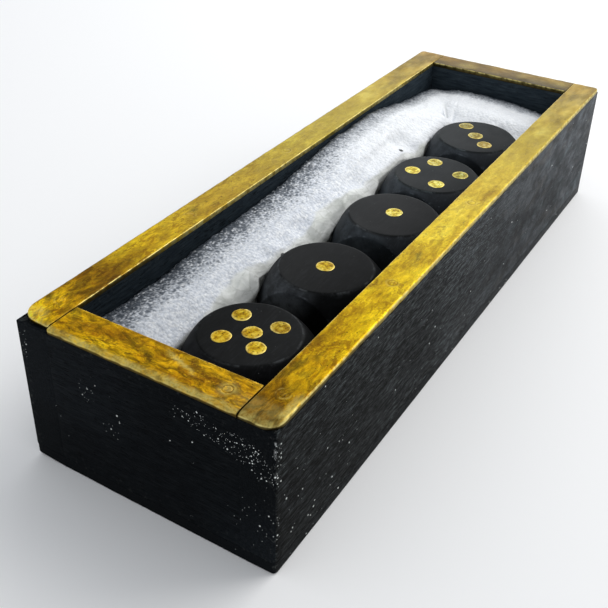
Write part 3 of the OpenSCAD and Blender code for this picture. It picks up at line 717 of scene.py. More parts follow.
def strip(name, node, x0, x1, y0, y1, radii, mat, wear, seed, along):
    """wear: (width, drop) of the rounding at the sides -X, +X, -Y, +Y. The top is a surface of heights over a grid."""
    (rll, rhl, rhh, rlh) = radii
    xs = x0 + spaced(x1 - x0, max(1.2, rll, rlh), max(1.2, rhl, rhh), 0.55) if along == "x" else x0 + spaced(x1 - x0, 2.0, 1.0, 0.42)
    ts = spaced(1.0, 0.18, 0.18, 0.06) if False else spaced(y1 - y0, 1.2, 1.2, 0.42 if along == "x" else 0.55) / (y1 - y0)

    def cut(d, r):
        d = np.clip(d, 0, None)
        return np.where(d < r, r - np.sqrt(np.maximum(r * r - (r - d) ** 2, 0)), 0.0)
    lo = y0 + np.maximum(cut(xs - x0, rll), cut(x1 - xs, rhl))
    hi = y1 - np.maximum(cut(xs - x0, rlh), cut(x1 - xs, rhh))
    X = np.repeat(xs[:, None], len(ts), 1)
    Y = lo[:, None] + (hi - lo)[:, None] * ts[None, :]
    q = np.c_[X.ravel(), Y.ravel(), np.zeros(X.size)]
    dW, dE, dS, dN = X - x0, x1 - X, Y - y0, y1 - Y
    n1 = vnoise(q, 0.22, seed + 3).reshape(X.shape)
    n2 = vnoise(q, 0.8, seed + 4).reshape(X.shape)
    k_w = 1 + 0.35 * n1 + 0.25 * n2
    k_d = 1 + 0.25 * n2
    drop = np.zeros(X.shape)
    near = np.full(X.shape, 99.0)
    for dist, (w, d) in zip((dW, dE, dS, dN), wear):
        f = np.clip(1 - dist / np.maximum(w * k_w, 0.05), 0, 1)
        drop = np.maximum(drop, d * k_d * (0.65 * f ** 2 + 0.35 * f ** 6))
        near = np.minimum(near, dist)
    for (da, db, r, (wa, pa), (wb, pb)) in ((dW, dS, rll, wear[0], wear[2]), (dE, dS, rhl, wear[1], wear[2]), (dE, dN, rhh, wear[1], wear[3]), (dW, dN, rlh, wear[0], wear[3])):
        if r < 0.5:
            continue
        zone = (da < r) & (db < r)
        dist = r - np.hypot(r - da, r - db)
        ang = np.arctan2(r - db, np.maximum(r - da, 1e-6)) / (math.pi / 2)
        w = (wa + (wb - wa) * ang) * k_w
        d = (pa + (pb - pa) * ang) * k_d
        f = np.clip(1 - dist / np.maximum(w, 0.05), 0, 1)
        drop = np.where(zone, d * (0.65 * f ** 2 + 0.35 * f ** 6), drop)
        near = np.where(zone, np.maximum(dist, 0), near)
    z = RIM - drop - 0.03 * (0.5 + 0.5 * fnoise(q, 0.25, seed + 8, 3).reshape(X.shape)) - 0.012 * (1 + n2)
    # the outline wanders a little inward
    jit = 0.07 * np.abs(fnoise(q, 0.5, seed + 9, 2)).reshape(X.shape) * smooth(0.6, 0.0, near)
    Y = Y + jit * np.where(dS < dN, 1, -1) * (np.minimum(dS, dN) < 0.6)
    idx = np.arange(X.size).reshape(X.shape)
    V = np.c_[X.ravel(), Y.ravel(), z.ravel()]
    F = [tuple(v) for v in np.stack([idx[:-1, :-1], idx[1:, :-1], idx[1:, 1:], idx[:-1, 1:]], -1).reshape(-1, 4)]
    ring = np.r_[idx[:, 0], idx[-1, 1:], idx[-2::-1, -1], idx[0, -2:0:-1]]
    m = len(ring)
    base = V[ring].copy()
    base[:, 2] = base[:, 2] - 0.20
    foot = V[ring].copy()
    foot[:, 2] = TOP + 0.0
    o = len(V)
    V = np.vstack([V, base, foot])
    for a_, b_ in ((ring, np.arange(o, o + m)), (np.arange(o, o + m), np.arange(o + m, o + 2 * m))):
        F += [(a_[(j + 1) % m], a_[j], b_[j], b_[(j + 1) % m]) for j in range(m)]
    F.append(tuple(range(o + 2 * m - 1, o + m - 1, -1)))
    near_all = np.r_[near.ravel(), np.zeros(2 * m)]
    paint = painted(V[:, 0], V[:, 1])
    # the pale edge line: worn brass, and a painted edge highlight
    edge = smooth(0.20, 0.02, near_all)
    # at the joints the edge is dark with dirt instead of bright
    if along == "y":
        joint = smooth(0.22, 0.04, IY - 0.12 - np.abs(V[:, 1]))
    else:
        joint = smooth(0.20, 0.03, np.abs(np.abs(V[:, 1]) - IY)) * smooth(IX - 0.3, IX + 0.1, np.abs(V[:, 0]))
    edge = edge * (1 - joint) * (0.45 if name == "brass_near" else 1.0)
    joint = joint * np.interp(V[:, 0], (40, 70), (1.0, 0.15))
    # the upright faces are painted near black toward the -X end, less so farther along
    upright_darkening = np.interp(V[o:o + m, 0], (-75, -50, -38, 75), (0.9, 0.8, 0.35, 0.35)) if along == "x" else np.full(m, 0.85)
    strip_darkening = np.maximum(joint * 0.8, np.r_[np.zeros(o), upright_darkening, np.minimum(upright_darkening + 0.25, 1)])
    # the back strip is also darker along its outer edge
    if name == "brass_back":
        strip_darkening[:o] = np.maximum(strip_darkening[:o], 0.65 * smooth(0.26, 0.08, dN.ravel()))
    for k in paint:
        paint[k][o:] *= 0.5
    # the wide worn bevel is paler than the flat
    wide = np.zeros(X.shape)
    for dist, (w, d) in zip((dW, dE, dS, dN), wear):
        if w > 0.5:
            wide = np.maximum(wide, smooth(1.0, 0.35, dist / np.maximum(w * k_w, 0.05)) * min(1.0, w / 1.3))
    paint["pale"] = np.maximum(paint["pale"], np.r_[wide.ravel() * (0.55 if name == "brass_front" else 0.80), np.zeros(2 * m)])
    tone = tone_line(name.split("_")[1], V[:, 0] if along == "x" else V[:, 1])
    if name == "brass_far":
        # darker toward the well
        tone = tone * np.interp(V[:, 0], (68.1, 68.6, 69.7, 70.9, 72.1, 73.3), (0.25, 0.38, 0.66, 0.92, 1.13, 1.28))[:, None]
    ob = make(name, V, F, "box", [node], [mat], {"edge": edge, "strip_darkening": strip_darkening, **paint, **tone_attrs(tone)}, sharp=50)
    return ob


strip("brass_front", "rim_strip_front", -L2 + 0.05, L2 - 0.05, -W2 + 0.03, -IY, (2.6, 1.2, 0.02, 0.02), BRASS_X, ((1.4, 0.48), (0.4, 0.25), (0.36, 0.24), (0.12, 0.08)), 11, "x")
strip("brass_back", "rim_strip_back", -L2 + 0.90, L2 - 0.06, IY, W2 - 0.02, (0.5, 0.02, 1.2, 3.2), BRASS_X, ((1.0, 0.38), (0.4, 0.25), (0.12, 0.08), (0.18, 0.12)), 12, "x")
strip("brass_near", "rim_strip_near", -L2 + 0.04, -IX, -IY + 0.16, IY - 0.16, (0.02, 0.02, 0.02, 0.35), BRASS_Y, ((1.45, 0.42), (0.12, 0.08), (0.10, 0.06), (0.14, 0.08)), 13, "y")
strip("brass_far", "rim_strip_far", IX, L2 - 0.1, -IY + 0.05, IY - 0.05, (0.02,) * 4, BRASS_Y, ((0.14, 0.10), (0.5, 0.25), (0.08, 0.05), (0.08, 0.05)), 14, "y")


def stud(x, y, z0, z1, r, seed, dome=0.03, n=20, ring0=0):
    """A round rod whose end has been filed to an uneven disc."""
    a = np.arange(n) / n * 2 * math.pi
    rr = r * (1 + 0.05 * np.sin(2 * a + seed) + 0.03 * np.sin(5 * a + 2 * seed))
    V = []
    for k, (f, z) in enumerate([(1, z0), (1, z1 - 0.03), (0.93, z1 + dome * 0.4), (0.6, z1 + dome * 0.9), (0.3, z1 + dome)]):
        V.append(np.c_[x + f * rr * np.cos(a), y + f * rr * np.sin(a), np.full(n, z)])
    V = np.vstack(V)
    F = [(k * n + j, k * n + (j + 1) % n, (k + 1) * n + (j + 1) % n, (k + 1) * n + j) for k in range(4) for j in range(n)]
    F += [tuple(range(n))[::-1], tuple(range(4 * n, 5 * n))]
    return V, F


def join_parts(parts):
    V, F, o = [], [], 0
    for v, f in parts:
        V.append(v)
        F += [tuple(i + o for i in q) for q in f]
        o += len(v)
    return np.vstack(V), F


pins = []
for i in range(-2, 3):
    for s in (-1, 1):
        pins.append((i * 34.0, s * 21.3))
for s in (-1, 1):
    for e in (-1, 1):
        pins.append((e * 71.5, s * 14.0))
V, F = join_parts([stud(x, y, 20.5, RIM - (0.14 if (x < -70 and y > 0) else 0.10 if x > 20 else 0.035), 0.76, k * 1.7, dome=0.015) for k, (x, y) in enumerate(pins)])
PIN_TONE = np.where(np.abs(V[:, :1]) > 70, np.where(V[:, :1] < 0, tone_line("near", V[:, 1]), tone_line("far", V[:, 1])), np.where(V[:, 1:2] < 0, tone_line("front", V[:, 0]), tone_line("back", V[:, 0])))
make("pins", V, F, "box", ["rim_pins"], [BRASS_X], {"edge": np.full(len(V), 0.05), "strip_darkening": np.zeros(len(V)), **painted(V[:, 0], V[:, 1]), **tone_attrs(PIN_TONE)}, sharp=60)

nails = [(sx * 21.0, sy * 21.3) for sx in (-3, -1, 1, 3) for sy in (-1, 1)] + [(s * 71.5, 0.0) for s in (-1, 1)]


def nail(x, y, seed):
    v, f = stud(0, 0, 0.0, 0.5, 1.3, seed, dome=0.0)
    v2, f2 = stud(0, 0, 0.0, 12.5, 0.65, seed, dome=0.0, n=12)
    head = v.copy()
    head[:, 2] = 0.55 - head[:, 2]
    head = head + [x, y, 0]
    shank = v2 + [x, y, 0.5]
    return join_parts([(head, [q[::-1] for q in f]), (shank, f2)])


steel = Mat("nail_steel")
rust = steel.noise((1.1,) * 3, detail=5, rough=0.7)
steel.set(Base_Color=steel.mix(steel.step(rust, 0.42, 0.62), (0.22, 0.21, 0.20), (0.11, 0.045, 0.018)), Metallic=0.8,
          Roughness=steel.step(rust, 0.35, 0.65, 0.38, 0.85), Normal=steel.bump(rust, 0.06, 0.7))
V, F = join_parts([nail(x, y, k * 2.1) for k, (x, y) in enumerate(nails)])
make("nails", V, F, "box", ["base_nails"], [steel.m], {"edge": np.zeros(len(V))}, sharp=60)


# ------------------------------------------------------------------ dice
def die_mesh(k):
    """A cube whose corners are turned off on a sphere, faces as discs, edges a little worn."""
    NA = 96
    a = np.arange(NA) / NA * 2 * math.pi + math.pi / NA * 0
    h, R = DIE_A / 2, DIE_R
    rows = []
    tag = []
    for f in (0.0001, 0.3, 0.6, 0.85, 0.94, 0.975):
        rows.append(np.c_[f * FACE_R * np.cos(a), f * FACE_R * np.sin(a), np.full(NA, h)])
        tag.append(0.0)
    # worn arris between disc and sphere; the tag paints it pale, as wear and as a painted rim highlight
    rows.append(np.c_[0.997 * FACE_R * np.cos(a), 0.997 * FACE_R * np.sin(a), np.full(NA, h - 0.03)])
    tag.append(1.0)
    rows.append(np.c_[1.012 * FACE_R * np.cos(a), 1.012 * FACE_R * np.sin(a), np.full(NA, h - 0.15)])
    tag.append(0.8)
    m = np.maximum(np.abs(np.cos(a)), np.abs(np.sin(a)))
    B = np.c_[np.cos(a) / m, np.sin(a) / m, np.ones(NA)]
    B /= np.linalg.norm(B, axis=1)[:, None]
    rho = np.hypot(*rows[-1][0, :2])
    for f in (0.18, 0.4, 0.65, 0.85, 1.0):
        th0 = math.atan2(FACE_R * 1.02, h)
        thB = np.arccos(B[:, 2])
        th = th0 + (thB - th0) * f
        P = np.c_[np.sin(th) * np.cos(a), np.sin(th) * np.sin(a), np.cos(th)] * R
        # the flats of the neighbouring faces cut nothing here, since the sphere is inside the cube's edges
        P = np.clip(P, -h, h)
        rows.append(P)
        tag.append(0.25 if f < 0.3 else 0.0)
    face = np.vstack(rows)
    e = np.repeat(tag, NA)
    nr = len(rows)
    F = [(r * NA + j, r * NA + (j + 1) % NA, (r + 1) * NA + (j + 1) % NA, (r + 1) * NA + j) for r in range(nr - 1) for j in range(NA)]
    F = [q[::-1] for q in F]
    F.append(tuple(range(NA)))
    V, FF, E, o = [], [], [], 0
    for rot in (Matrix.Identity(3), Matrix.Rotation(math.pi, 3, "X"), Matrix.Rotation(math.pi / 2, 3, "Y"), Matrix.Rotation(-math.pi / 2, 3, "Y"), Matrix.Rotation(-math.pi / 2, 3, "X"), Matrix.Rotation(math.pi / 2, 3, "X")):
        V.append(face @ np.array(rot).T)
        FF += [tuple(i + o for i in q) for q in F]
        E.append(e)
        o += len(face)
    return np.vstack(V), FF, np.concatenate(E)


def wander(i):
    return 0.24 * math.sin(math.radians(i * 137.5 + 40)) + 0.1 * math.sin(math.radians(i * 61.3))


SPOTS = {1: [(0, 0)], 2: [(-1, 1), (1, -1)], 3: [(-1, 1), (0, 0), (1, -1)], 4: [(-1, 1), (1, 1), (-1, -1), (1, -1)],
         5: [(-1, 1), (1, 1), (0, 0), (-1, -1), (1, -1)], 6: [(-1, 1.2), (1, 1.2), (-1, 0), (1, 0), (-1, -1.2), (1, -1.2)]}
SHOWS = [[5, 2, 6, 1, 4, 3], [1, 6, 5, 2, 4, 3], [1, 6, 4, 3, 2, 5], [4, 3, 6, 1, 2, 5], [3, 4, 6, 1, 5, 2]]
TOPS = [[(3.4, 3.9), (-3.25, 3.3), (0.3, -0.3), (3.9, -3.4), (-2.8, -3.1)], [(0.1, 0.2)], [(0.7, 0)],
        [(-1.05, 4.8), (5.1, 2.4), (2.4, -4.8), (-4.3, -2.2)], [(4.3, 4.2), (0.3, 0.2), (-3.3, -3.4)]]
TURN = [Matrix.Identity(3), Matrix.Rotation(math.pi, 3, "X"), Matrix.Rotation(math.pi / 2, 3, "Y"), Matrix.Rotation(-math.pi / 2, 3, "Y"),
        Matrix.Rotation(-math.pi / 2, 3, "X"), Matrix.Rotation(math.pi / 2, 3, "X")]


def places(k, f):
    if f == 0:
        return TOPS[k]
    s = SPOTS[SHOWS[k][f]]
    w = 0.5 if len(s) == 6 else 1.0
    return [(s[i][0] * 3.5 + w * wander(k * 31 + f * 7 + i), s[i][1] * 3.5 + w * wander(k * 17 + f * 11 + i * 3 + 5)) for i in range(len(s))]


def pip_disc(seed):
    """A brass disc filed flush: uneven rim, slightly dished, rising a hair above the face."""
    n = 40
    a = np.arange(n) / n * 2 * math.pi
    rr = 1.70 * (1 + 0.020 * np.sin(2 * a + seed) + 0.014 * np.sin(3 * a + 1.7 * seed) + 0.010 * np.sin(7 * a + 3.1 * seed))
    prof = [(1.0, -1.1, 1.0), (1.0, -0.02, 1.0), (0.965, 0.035, 1.0), (0.90, 0.045, 0.7), (0.80, 0.035, 0.15), (0.55, 0.028, 0.0), (0.25, 0.025, 0.0)]
    V = np.vstack([np.c_[f * rr * np.cos(a), f * rr * np.sin(a), np.full(n, z)] for f, z, _ in prof])
    E = np.repeat([e for *_, e in prof], n)
    F = [(k * n + j, k * n + (j + 1) % n, (k + 1) * n + (j + 1) % n, (k + 1) * n + j) for k in range(len(prof) - 1) for j in range(n)]
    F += [tuple(range(n))[::-1], tuple(range((len(prof) - 1) * n, len(prof) * n))]
    return V, F, E


# painted light: one factor for each die, mostly rising toward the +X end, where the light comes from
DIE_TONE = (0.50, 0.70, 0.85, 0.95, 0.85)
PIP_TONE = ((0.98, 0.95, 0.50), (0.98, 0.93, 0.52), (1.12, 1.30, 1.45), (1.05, 1.15, 1.20), (0.95, 0.95, 0.95))
TOP_TONE = (((0.86, 0.87, 0.96), (0.95, 0.91, 0.93), (0.93, 0.91, 1.15), (0.72, 0.73, 1.57), (1.09, 1.14, 1.84)), ((0.91, 0.98, 1.34),), ((0.95, 1.00, 1.94),),
            ((1.05, 1.20, 2.50), (0.75, 0.85, 2.08), (0.58, 0.74, 2.12), (0.93, 1.10, 2.40)), ((0.42, 0.52, 1.47), (0.52, 0.64, 1.93), (0.56, 0.61, 1.61)))
DV, DF, DE = die_mesh(0)
for k, (cx, cy, yaw) in enumerate(DICE):
    body = "die_" + "abcde"[k]
    rz = np.array(Matrix.Rotation(math.radians(yaw), 3, "Z"))
    # a little unevenness from hand finishing
    wob = DV * (1 + 0.0012 * fnoise(DV + 50 * k, 0.12, 31 + k, 2))[:, None]
    V = wob @ rz.T + [cx, cy, DIE_Z]
    # a lighter patch on the turned part, toward the -X and -Y sides
    d = (DV / np.linalg.norm(DV, axis=1)[:, None]) @ np.array([-0.70, 0.30, 0.648])
    haze = smooth(0.80, 0.99, d) * smooth(9.49, 9.3, DV[:, 2]) * (0.75 if k == 1 else 0.40)
    # the top is lighter toward +Y; below it the dice differ, as painted light and shade: dice three to five are painted
    # lighter where they stand in shadow, the second die darker away from its lighter patch
    tone = np.outer(np.interp(V[:, 1] - cy, (-7, 5), (1.40, 0.98) if k == 0 else (0.62, 1.03)), (0.84 if k > 2 else 0.95, 1.0, 1.0))
    low = smooth(9.4, 9.1, DV[:, 2])[:, None]
    side = (0.50 + 1.2 * smooth(0.78, 0.98, d))[:, None] * np.array([[0.94, 1.0, 1.05]]) if k == 1 else np.array([[1.0, 1.0, 1.05]] if k == 0 else [[1.35, 1.55, 1.70]])
    tone = DIE_TONE[k] * (tone * (1 - low) + side * low)
    ob = make("dice_" + "abcde"[k], V, DF, body, ["die_%d" % (k + 1)], [DIE], {"edge": DE, "haze": haze, **tone_attrs(tone)}, sharp=None)
    bm = bmesh.new()
    bm.from_mesh(ob.data)
    bmesh.ops.remove_doubles(bm, verts=bm.verts, dist=0.00002)
    bm.to_mesh(ob.data)
    bm.free()
    parts, E, T = [], [], []
    seed = k * 10.0
    for f in range(6):
        tf = np.array(TURN[f])
        rot0 = np.array(Matrix.Rotation(math.radians(-yaw if f == 0 else 105 if f == 3 else 0), 3, "Z"))
        for i, (px, py) in enumerate(places(k, f)):
            seed += 1.3
            v, fc, e = pip_disc(seed)
            v = v + [0, 0, DIE_A / 2]
            c = rot0 @ np.array([px, py, 0.0])
            v = (v + c) @ tf.T @ rz.T + [cx, cy, DIE_Z]
            parts.append((v, fc))
            E.append(e)
            T.append(np.tile(np.array(PIP_TONE[k]) * (TOP_TONE[k][i] if f == 0 else 1.0), (len(v), 1)))
    V, F = join_parts(parts)
    make("pips_" + "abcde"[k], V, F, body, ["die_%d_pips" % (k + 1)], [BRASS_PIP], {"edge": np.concatenate(E), **tone_attrs(np.vstack(T))}, sharp=60)


# ------------------------------------------------------------------ foam
def die_edge_y(x, z, gap=0.38):
    """Furthest +Y reach of the dice at each (x, z), grown by gap; -99 where there is no die."""
    y = np.full(np.broadcast(x, z).shape, -99.0)
    for cx, cy, yaw in DICE:
        g = gap + abs(math.sin(math.radians(yaw))) * 4
        h = DIE_A / 2 + g
        dz = np.abs(z - DIE_Z)
        rz2 = (DIE_R + g) ** 2 - np.minimum(dz, DIE_A / 2) ** 2
        dx = np.abs(x - cx)
        inside = (dx < h) & (dz < h + 0.2)
        s = np.sqrt(np.maximum(rz2 - dx ** 2, 0))
        # a turned face reaches further at one of its ends
        extra = np.maximum((x - cx) * math.tan(math.radians(yaw)) - abs(math.sin(math.radians(yaw))) * 4, 0)
        y = np.where(inside & (rz2 > dx ** 2), np.maximum(y, cy + np.minimum(s, h) + extra), y)
    return y


def die5_edge_x(y, z, gap=0.38):
    cx, cy, yaw = DICE[4]
    h = DIE_A / 2 + gap
    rz2 = (DIE_R + gap) ** 2 - np.minimum(np.abs(z - DIE_Z), DIE_A / 2) ** 2
    dy = np.abs(y - cy)
    s = np.sqrt(np.maximum(rz2 - dy ** 2, 0))
    return np.where((dy < h) & (rz2 > dy ** 2), cx + np.minimum(s, h), -99.0)


def catmull(C, T, t):
    """C: (n, m, 3) control points at parameters T (m), evaluated at t (k) -> (n, k, 3)."""
    i = np.clip(np.searchsorted(T, t, side="right") - 1, 0, len(T) - 2)
    u = ((t - T[i]) / (T[i + 1] - T[i]))[None, :, None]
    p0, p1, p2, p3 = C[:, np.maximum(i - 1, 0)], C[:, i], C[:, i + 1], C[:, np.minimum(i + 2, len(T) - 1)]
    d1 = (p2 - p0) * 0.5
    d2 = (p3 - p1) * 0.5
    return (2 * u ** 3 - 3 * u ** 2 + 1) * p1 + (u ** 3 - 2 * u ** 2 + u) * d1 + (-2 * u ** 3 + 3 * u ** 2) * p2 + (u ** 3 - u ** 2) * d2


def foam_liner():
    step = 0.24
    OX, OY = IX - 0.25, IY - 0.25
    xs = np.arange(-IX + 0.3, 47.3, step)
    n1 = len(xs)
    # corner: the outer side runs round the corner while the inner side stays by the last die
    corner = []
    out_len1, out_len2 = OX - 47.3, OY - 3.4
    nc = int((out_len1 + out_len2) / step * 0.8)
    for j in range(1, nc):
        d = (out_len1 + out_len2) * j / nc
        r = 3.5
        if d < out_len1 - r:
            corner.append((47.3 + d, OY))
        elif d > out_len1 + r:
            corner.append((OX, OY - (d - out_len1)))
        else:
            a = (d - out_len1 + r) / (2 * r) * math.pi / 2
            corner.append((OX - r + r * math.sin(a), OY - r + r * math.cos(a)))
    corner = np.array(corner)
    ys = np.arange(3.4, -IY + 0.3, -step)
    n2, n3 = len(corner), len(ys)
    n = n1 + n2 + n3
    s = np.arange(n) * step
    O = np.vstack([np.c_[xs, np.full(n1, OY)], corner, np.c_[np.full(n3, OX), ys]])
    kind = np.r_[np.zeros(n1), np.ones(n2), np.full(n3, 2)]
    fc = np.r_[np.zeros(n1), np.linspace(0, 1, n2), np.ones(n3)]
    I0 = np.vstack([np.c_[xs, np.full(n1, 3.4)], np.tile([[47.3, 3.4]], (n2, 1)), np.c_[np.full(n3, 47.3), ys]])
    x = np.r_[xs, np.full(n2, 47.3), np.full(n3, 47.3)]
    P1 = np.c_[s, np.zeros(n), np.zeros(n)]
    w1 = vnoise(P1, 0.06, 71)
    w2 = vnoise(P1, 0.17, 72)
    w3 = vnoise(P1, 0.45, 73)
    # heights: at the wall, at the crest and at the shoulder on the dice side
    along = np.r_[xs, 47.3 + np.arange(n2) * step, 47.3 + n2 * step + np.arange(n3) * step]
    hw = np.interp(along, [-68, -56, -46, -42, -30, -18, -10, -4, 2, 9, 16, 30, 36, 42, 49, 56, 61, 65, 70, 75, 81, 87, 97],
                   [24.8, 24.7, 24.1, 24.8, 25.0, 25.4, 25.6, 26.4, 27.1, 27.9, 28.1, 28.1, 27.6, 26.3, 24.7, 23.7, 23.0, 22.9, 23.8, 24.2, 24.1, 23.2, 22.3])
    hc = np.interp(along, [-68, -50, -30, -10, -4, 2, 9, 16, 30, 36, 42, 49, 56, 61, 66, 75, 81, 87, 97],
                   [25.2, 25.3, 25.4, 25.7, 26.3, 26.9, 27.6, 27.8, 27.8, 27.4, 26.4, 25.2, 24.6, 24.2, 24.0, 24.3, 24.2, 23.5, 22.8])
    hs = np.interp(along, [-68, -50, -10, 5, 18, 32, 44, 50, 56, 66, 74, 84, 96], [24.0, 24.3, 24.5, 25.0, 25.9, 26.0, 25.3, 23.9, 22.3, 22.5, 22.2, 21.6, 21.0])
    hw = hw + 0.10 * w1 + 0.14 * w2 + 0.14 * w3
    hc = hc + 0.12 * w1 + 0.15 * vnoise(P1, 0.13, 76)
    # the film dips where two dice stand apart
    gaps = sum(np.exp(-((I0[:, 0] - g) / 2.6) ** 2) for g in (-43.4, -19.2, 3.4, 25.6)) * (kind == 0)
    hs = hs + 0.22 * vnoise(P1, 0.11, 77) + 0.14 * vnoise(P1, 0.31, 78) - (0.9 + 0.5 * smooth(0, 15, I0[:, 0])) * gaps

    def inner(z):
        """Plan place of the dice-side surface at height z."""
        z = np.broadcast_to(np.asarray(z, float), (n,))
        yd = die_edge_y(I0[:, 0], z)
        low = 1.9 + 0.3 * vnoise(P1, 0.2, 79)
        # in the gaps the foam bulges a little way between the dice
        yi = np.where(yd < low, low, yd)
        xd = np.maximum(die5_edge_x(I0[:, 1], z), 46.6)
        q = I0.copy()
        q[:, 1] = np.where(kind == 0, yi, q[:, 1])
        q[:, 0] = np.where(kind == 2, xd, q[:, 0])
        # near the inner corner both sides meet at one rounded place
        return q

    def toward(u):
        return O + (I0 - O) * u[:, None] if isinstance(u, np.ndarray) else O + (I0 - O) * u

    def level(q, z):
        return np.c_[q, np.broadcast_to(z, (n,))]

    zb = 7.08
    shoulder_u = 0.80 + 0.05 * vnoise(P1, 0.09, 81) + 0.04 * vnoise(P1, 0.33, 82)
    i1, i2, i3, i4 = inner(hs - 1.7), inner(hs - 3.6), inner(np.full(n, 16.5)), inner(np.full(n, zb))
    # blur the inner line a little at the top, so that the film spans the notches
    def soft(q, k):
        ker = np.hanning(k + 2)[1:-1]
        ker /= ker.sum()
        pad = k // 2
        out = q.copy()
        for c in (0, 1):
            out[:, c] = np.convolve(np.pad(q[:, c], pad, mode="edge"), ker, "valid")[:n]
        d = np.maximum(out - q, 0)
        return np.where(kind[:, None] == 0, np.c_[q[:, 0], np.maximum(out[:, 1], q[:, 1])], np.where(kind[:, None] == 2, np.c_[np.maximum(out[:, 0], q[:, 0]), q[:, 1]], q))
    i1 = soft(i1, 15)
    i2 = soft(i2, 9)
    C = np.stack([
        level(toward(0.02), zb),
        level(toward(0.0), 12.0),
        level(toward(0.0), 18.0),
        level(toward(0.0), hw - 1.6),
        level(toward(0.012), hw - 0.45),
        level(toward(0.07), hw + 0.05),
        level(toward(0.20), hw * 0.55 + hc * 0.45),
        level(toward(0.40), hc),
        level(toward(0.62), hc - 0.05),
        level(toward(shoulder_u), hs + 0.15),
        level(i1 * 0.55 + toward(0.93) * 0.45, hs - 0.75),
        level(i1, hs - 1.7),
        level(i2, hs - 3.6),
        level(i3, 16.5),
        level(i4, 10.5),
        level(i4, zb),
    ], 1)
    seg = np.linalg.norm(np.diff(C[n1 // 2], axis=0), axis=1)
    T = np.r_[0, np.cumsum(np.maximum(seg, 0.3))]
    t = [0.0]
    while t[-1] < T[-1] - 0.3:
        # fine over the top, coarser low down on both sides
        d = 0.24 if T[2] < t[-1] < T[12] else (0.24 if T[12] <= t[-1] < T[13] else 0.8)
        t.append(t[-1] + d)
    t = np.r_[t, T[-1]]
    P = catmull(C, T, t)
    k = len(t)
    flat = P.reshape(-1, 3)
    # normals of the swept sheet
    ds = np.gradient(P, axis=0)
    dt = np.gradient(P, axis=1)
    N = np.cross(dt, ds).reshape(-1, 3)
    N /= np.maximum(np.linalg.norm(N, axis=1), 1e-9)[:, None]
    mid = P[n1 // 2, k // 2]
    if N.reshape(n, k, 3)[n1 // 2, np.searchsorted(t, T[7])][2] < 0:
        N = -N
    tt = np.tile(t, n)
    ss = np.repeat(s, k)
    kk = np.repeat(kind, k)
    # film covers the side toward the dice, up to an uneven line
    bound = np.interp(flat[:, 0], (-68, -62, -50, -44, -40, -37, -34, -22, -15, -12, -7, 0, 10, 20, 32, 48),
                      (3.2, 3.5, 4.9, 6.4, 6.7, 6.0, 4.7, 4.5, 5.2, 6.4, 5.8, 5.0, 4.0, 3.4, 2.4, 2.2))
    bound = bound + 0.45 * fnoise(flat, 0.35, 91, 3) + 0.25 * fnoise(flat, 1.1, 93, 2)
    line = T[10] + 0.9 + 0.8 * fnoise(np.c_[ss, np.zeros_like(ss), np.zeros_like(ss)], 0.16, 91, 3)
    skin = np.where(kk == 0, smooth(0.45, -0.45, flat[:, 1] - bound), smooth(0.0, 1.0, (tt - line) / 1.0))
    skin = np.maximum(skin, smooth(T[11], T[11] + 0.8, tt))
    # how much light the bubbles return: little by the walls, partly where the dark wood shows through the thin foam and
    # partly as painted shade from the walls and the downward curve of the surface
    away = np.minimum(IY - flat[:, 1], np.where(kk > 0, IX - flat[:, 0], 99.0))
    DX = (-48, -28, -2, 28)
    DD = (0.1, 1.1, 2.1, 3.1, 4.1, 5.1, 6.1, 8.1, 10.0)
    DENS = ((0.05, 0.17, 0.22, 0.28, 0.32, 0.40, 0.43, 0.68, 1.0), (0.14, 0.21, 0.25, 0.32, 0.37, 0.47, 0.57, 0.78, 1.0),
            (0.11, 0.20, 0.28, 0.36, 0.42, 0.46, 0.54, 0.74, 0.95), (0.08, 0.16, 0.26, 0.34, 0.42, 0.52, 0.68, 0.90, 1.05))
    rows = np.stack([np.interp(away, DD, r) for r in DENS], 0)
    ix = np.clip(np.searchsorted(DX, flat[:, 0]) - 1, 0, len(DX) - 2)
    fx = np.clip((flat[:, 0] - np.array(DX)[ix]) / (np.array(DX)[ix + 1] - np.array(DX)[ix]), 0, 1)
    dens = rows[ix, np.arange(len(ix))] * (1 - fx) + rows[ix + 1, np.arange(len(ix))] * fx
    dens = dens + 0.07 * fnoise(flat, 0.45, 92, 2)
    # less light reaches the -X end of the trough, and the bottom of the slope to the dice
    glow = np.interp(flat[:, 0], (-66, -48, -28, -2, 14, 28), (0.68, 0.79, 0.89, 1.02, 1.00, 0.975))
    glow = glow * (1 - np.interp(flat[:, 0], (-50, -20, 5, 30), (0.42, 0.24, 0.26, 0.16)) * smooth(5.0, 3.0, flat[:, 1]) * (kk == 0))
    glow = glow * (1 + 0.04 * fnoise(flat, 0.18, 95, 3))
    # film over dark gaps and low down is dull
    shade = smooth(24.1, 20.5, flat[:, 2]) * 0.75
    f1, f2, who = cells(flat, 0.95, 101)
    g1, g2, who2 = cells(flat, 2.1, 151)
    dome = np.clip(1 - f1 / 0.62, -0.4, 1)
    dome2 = np.clip(1 - g1 / 0.62, -0.4, 1)
    rough = 1 - skin
    top = smooth(T[2], T[3], tt)
    ragged = smooth(T[7], T[4], tt) * top
    disp = rough * (0.13 * dome + 0.08 * dome2 + 0.18 * fnoise(flat, 0.35, 111, 3)) * top
    disp += rough * ragged * 0.30 * (who - 0.35) * np.clip(dome, 0, 1)
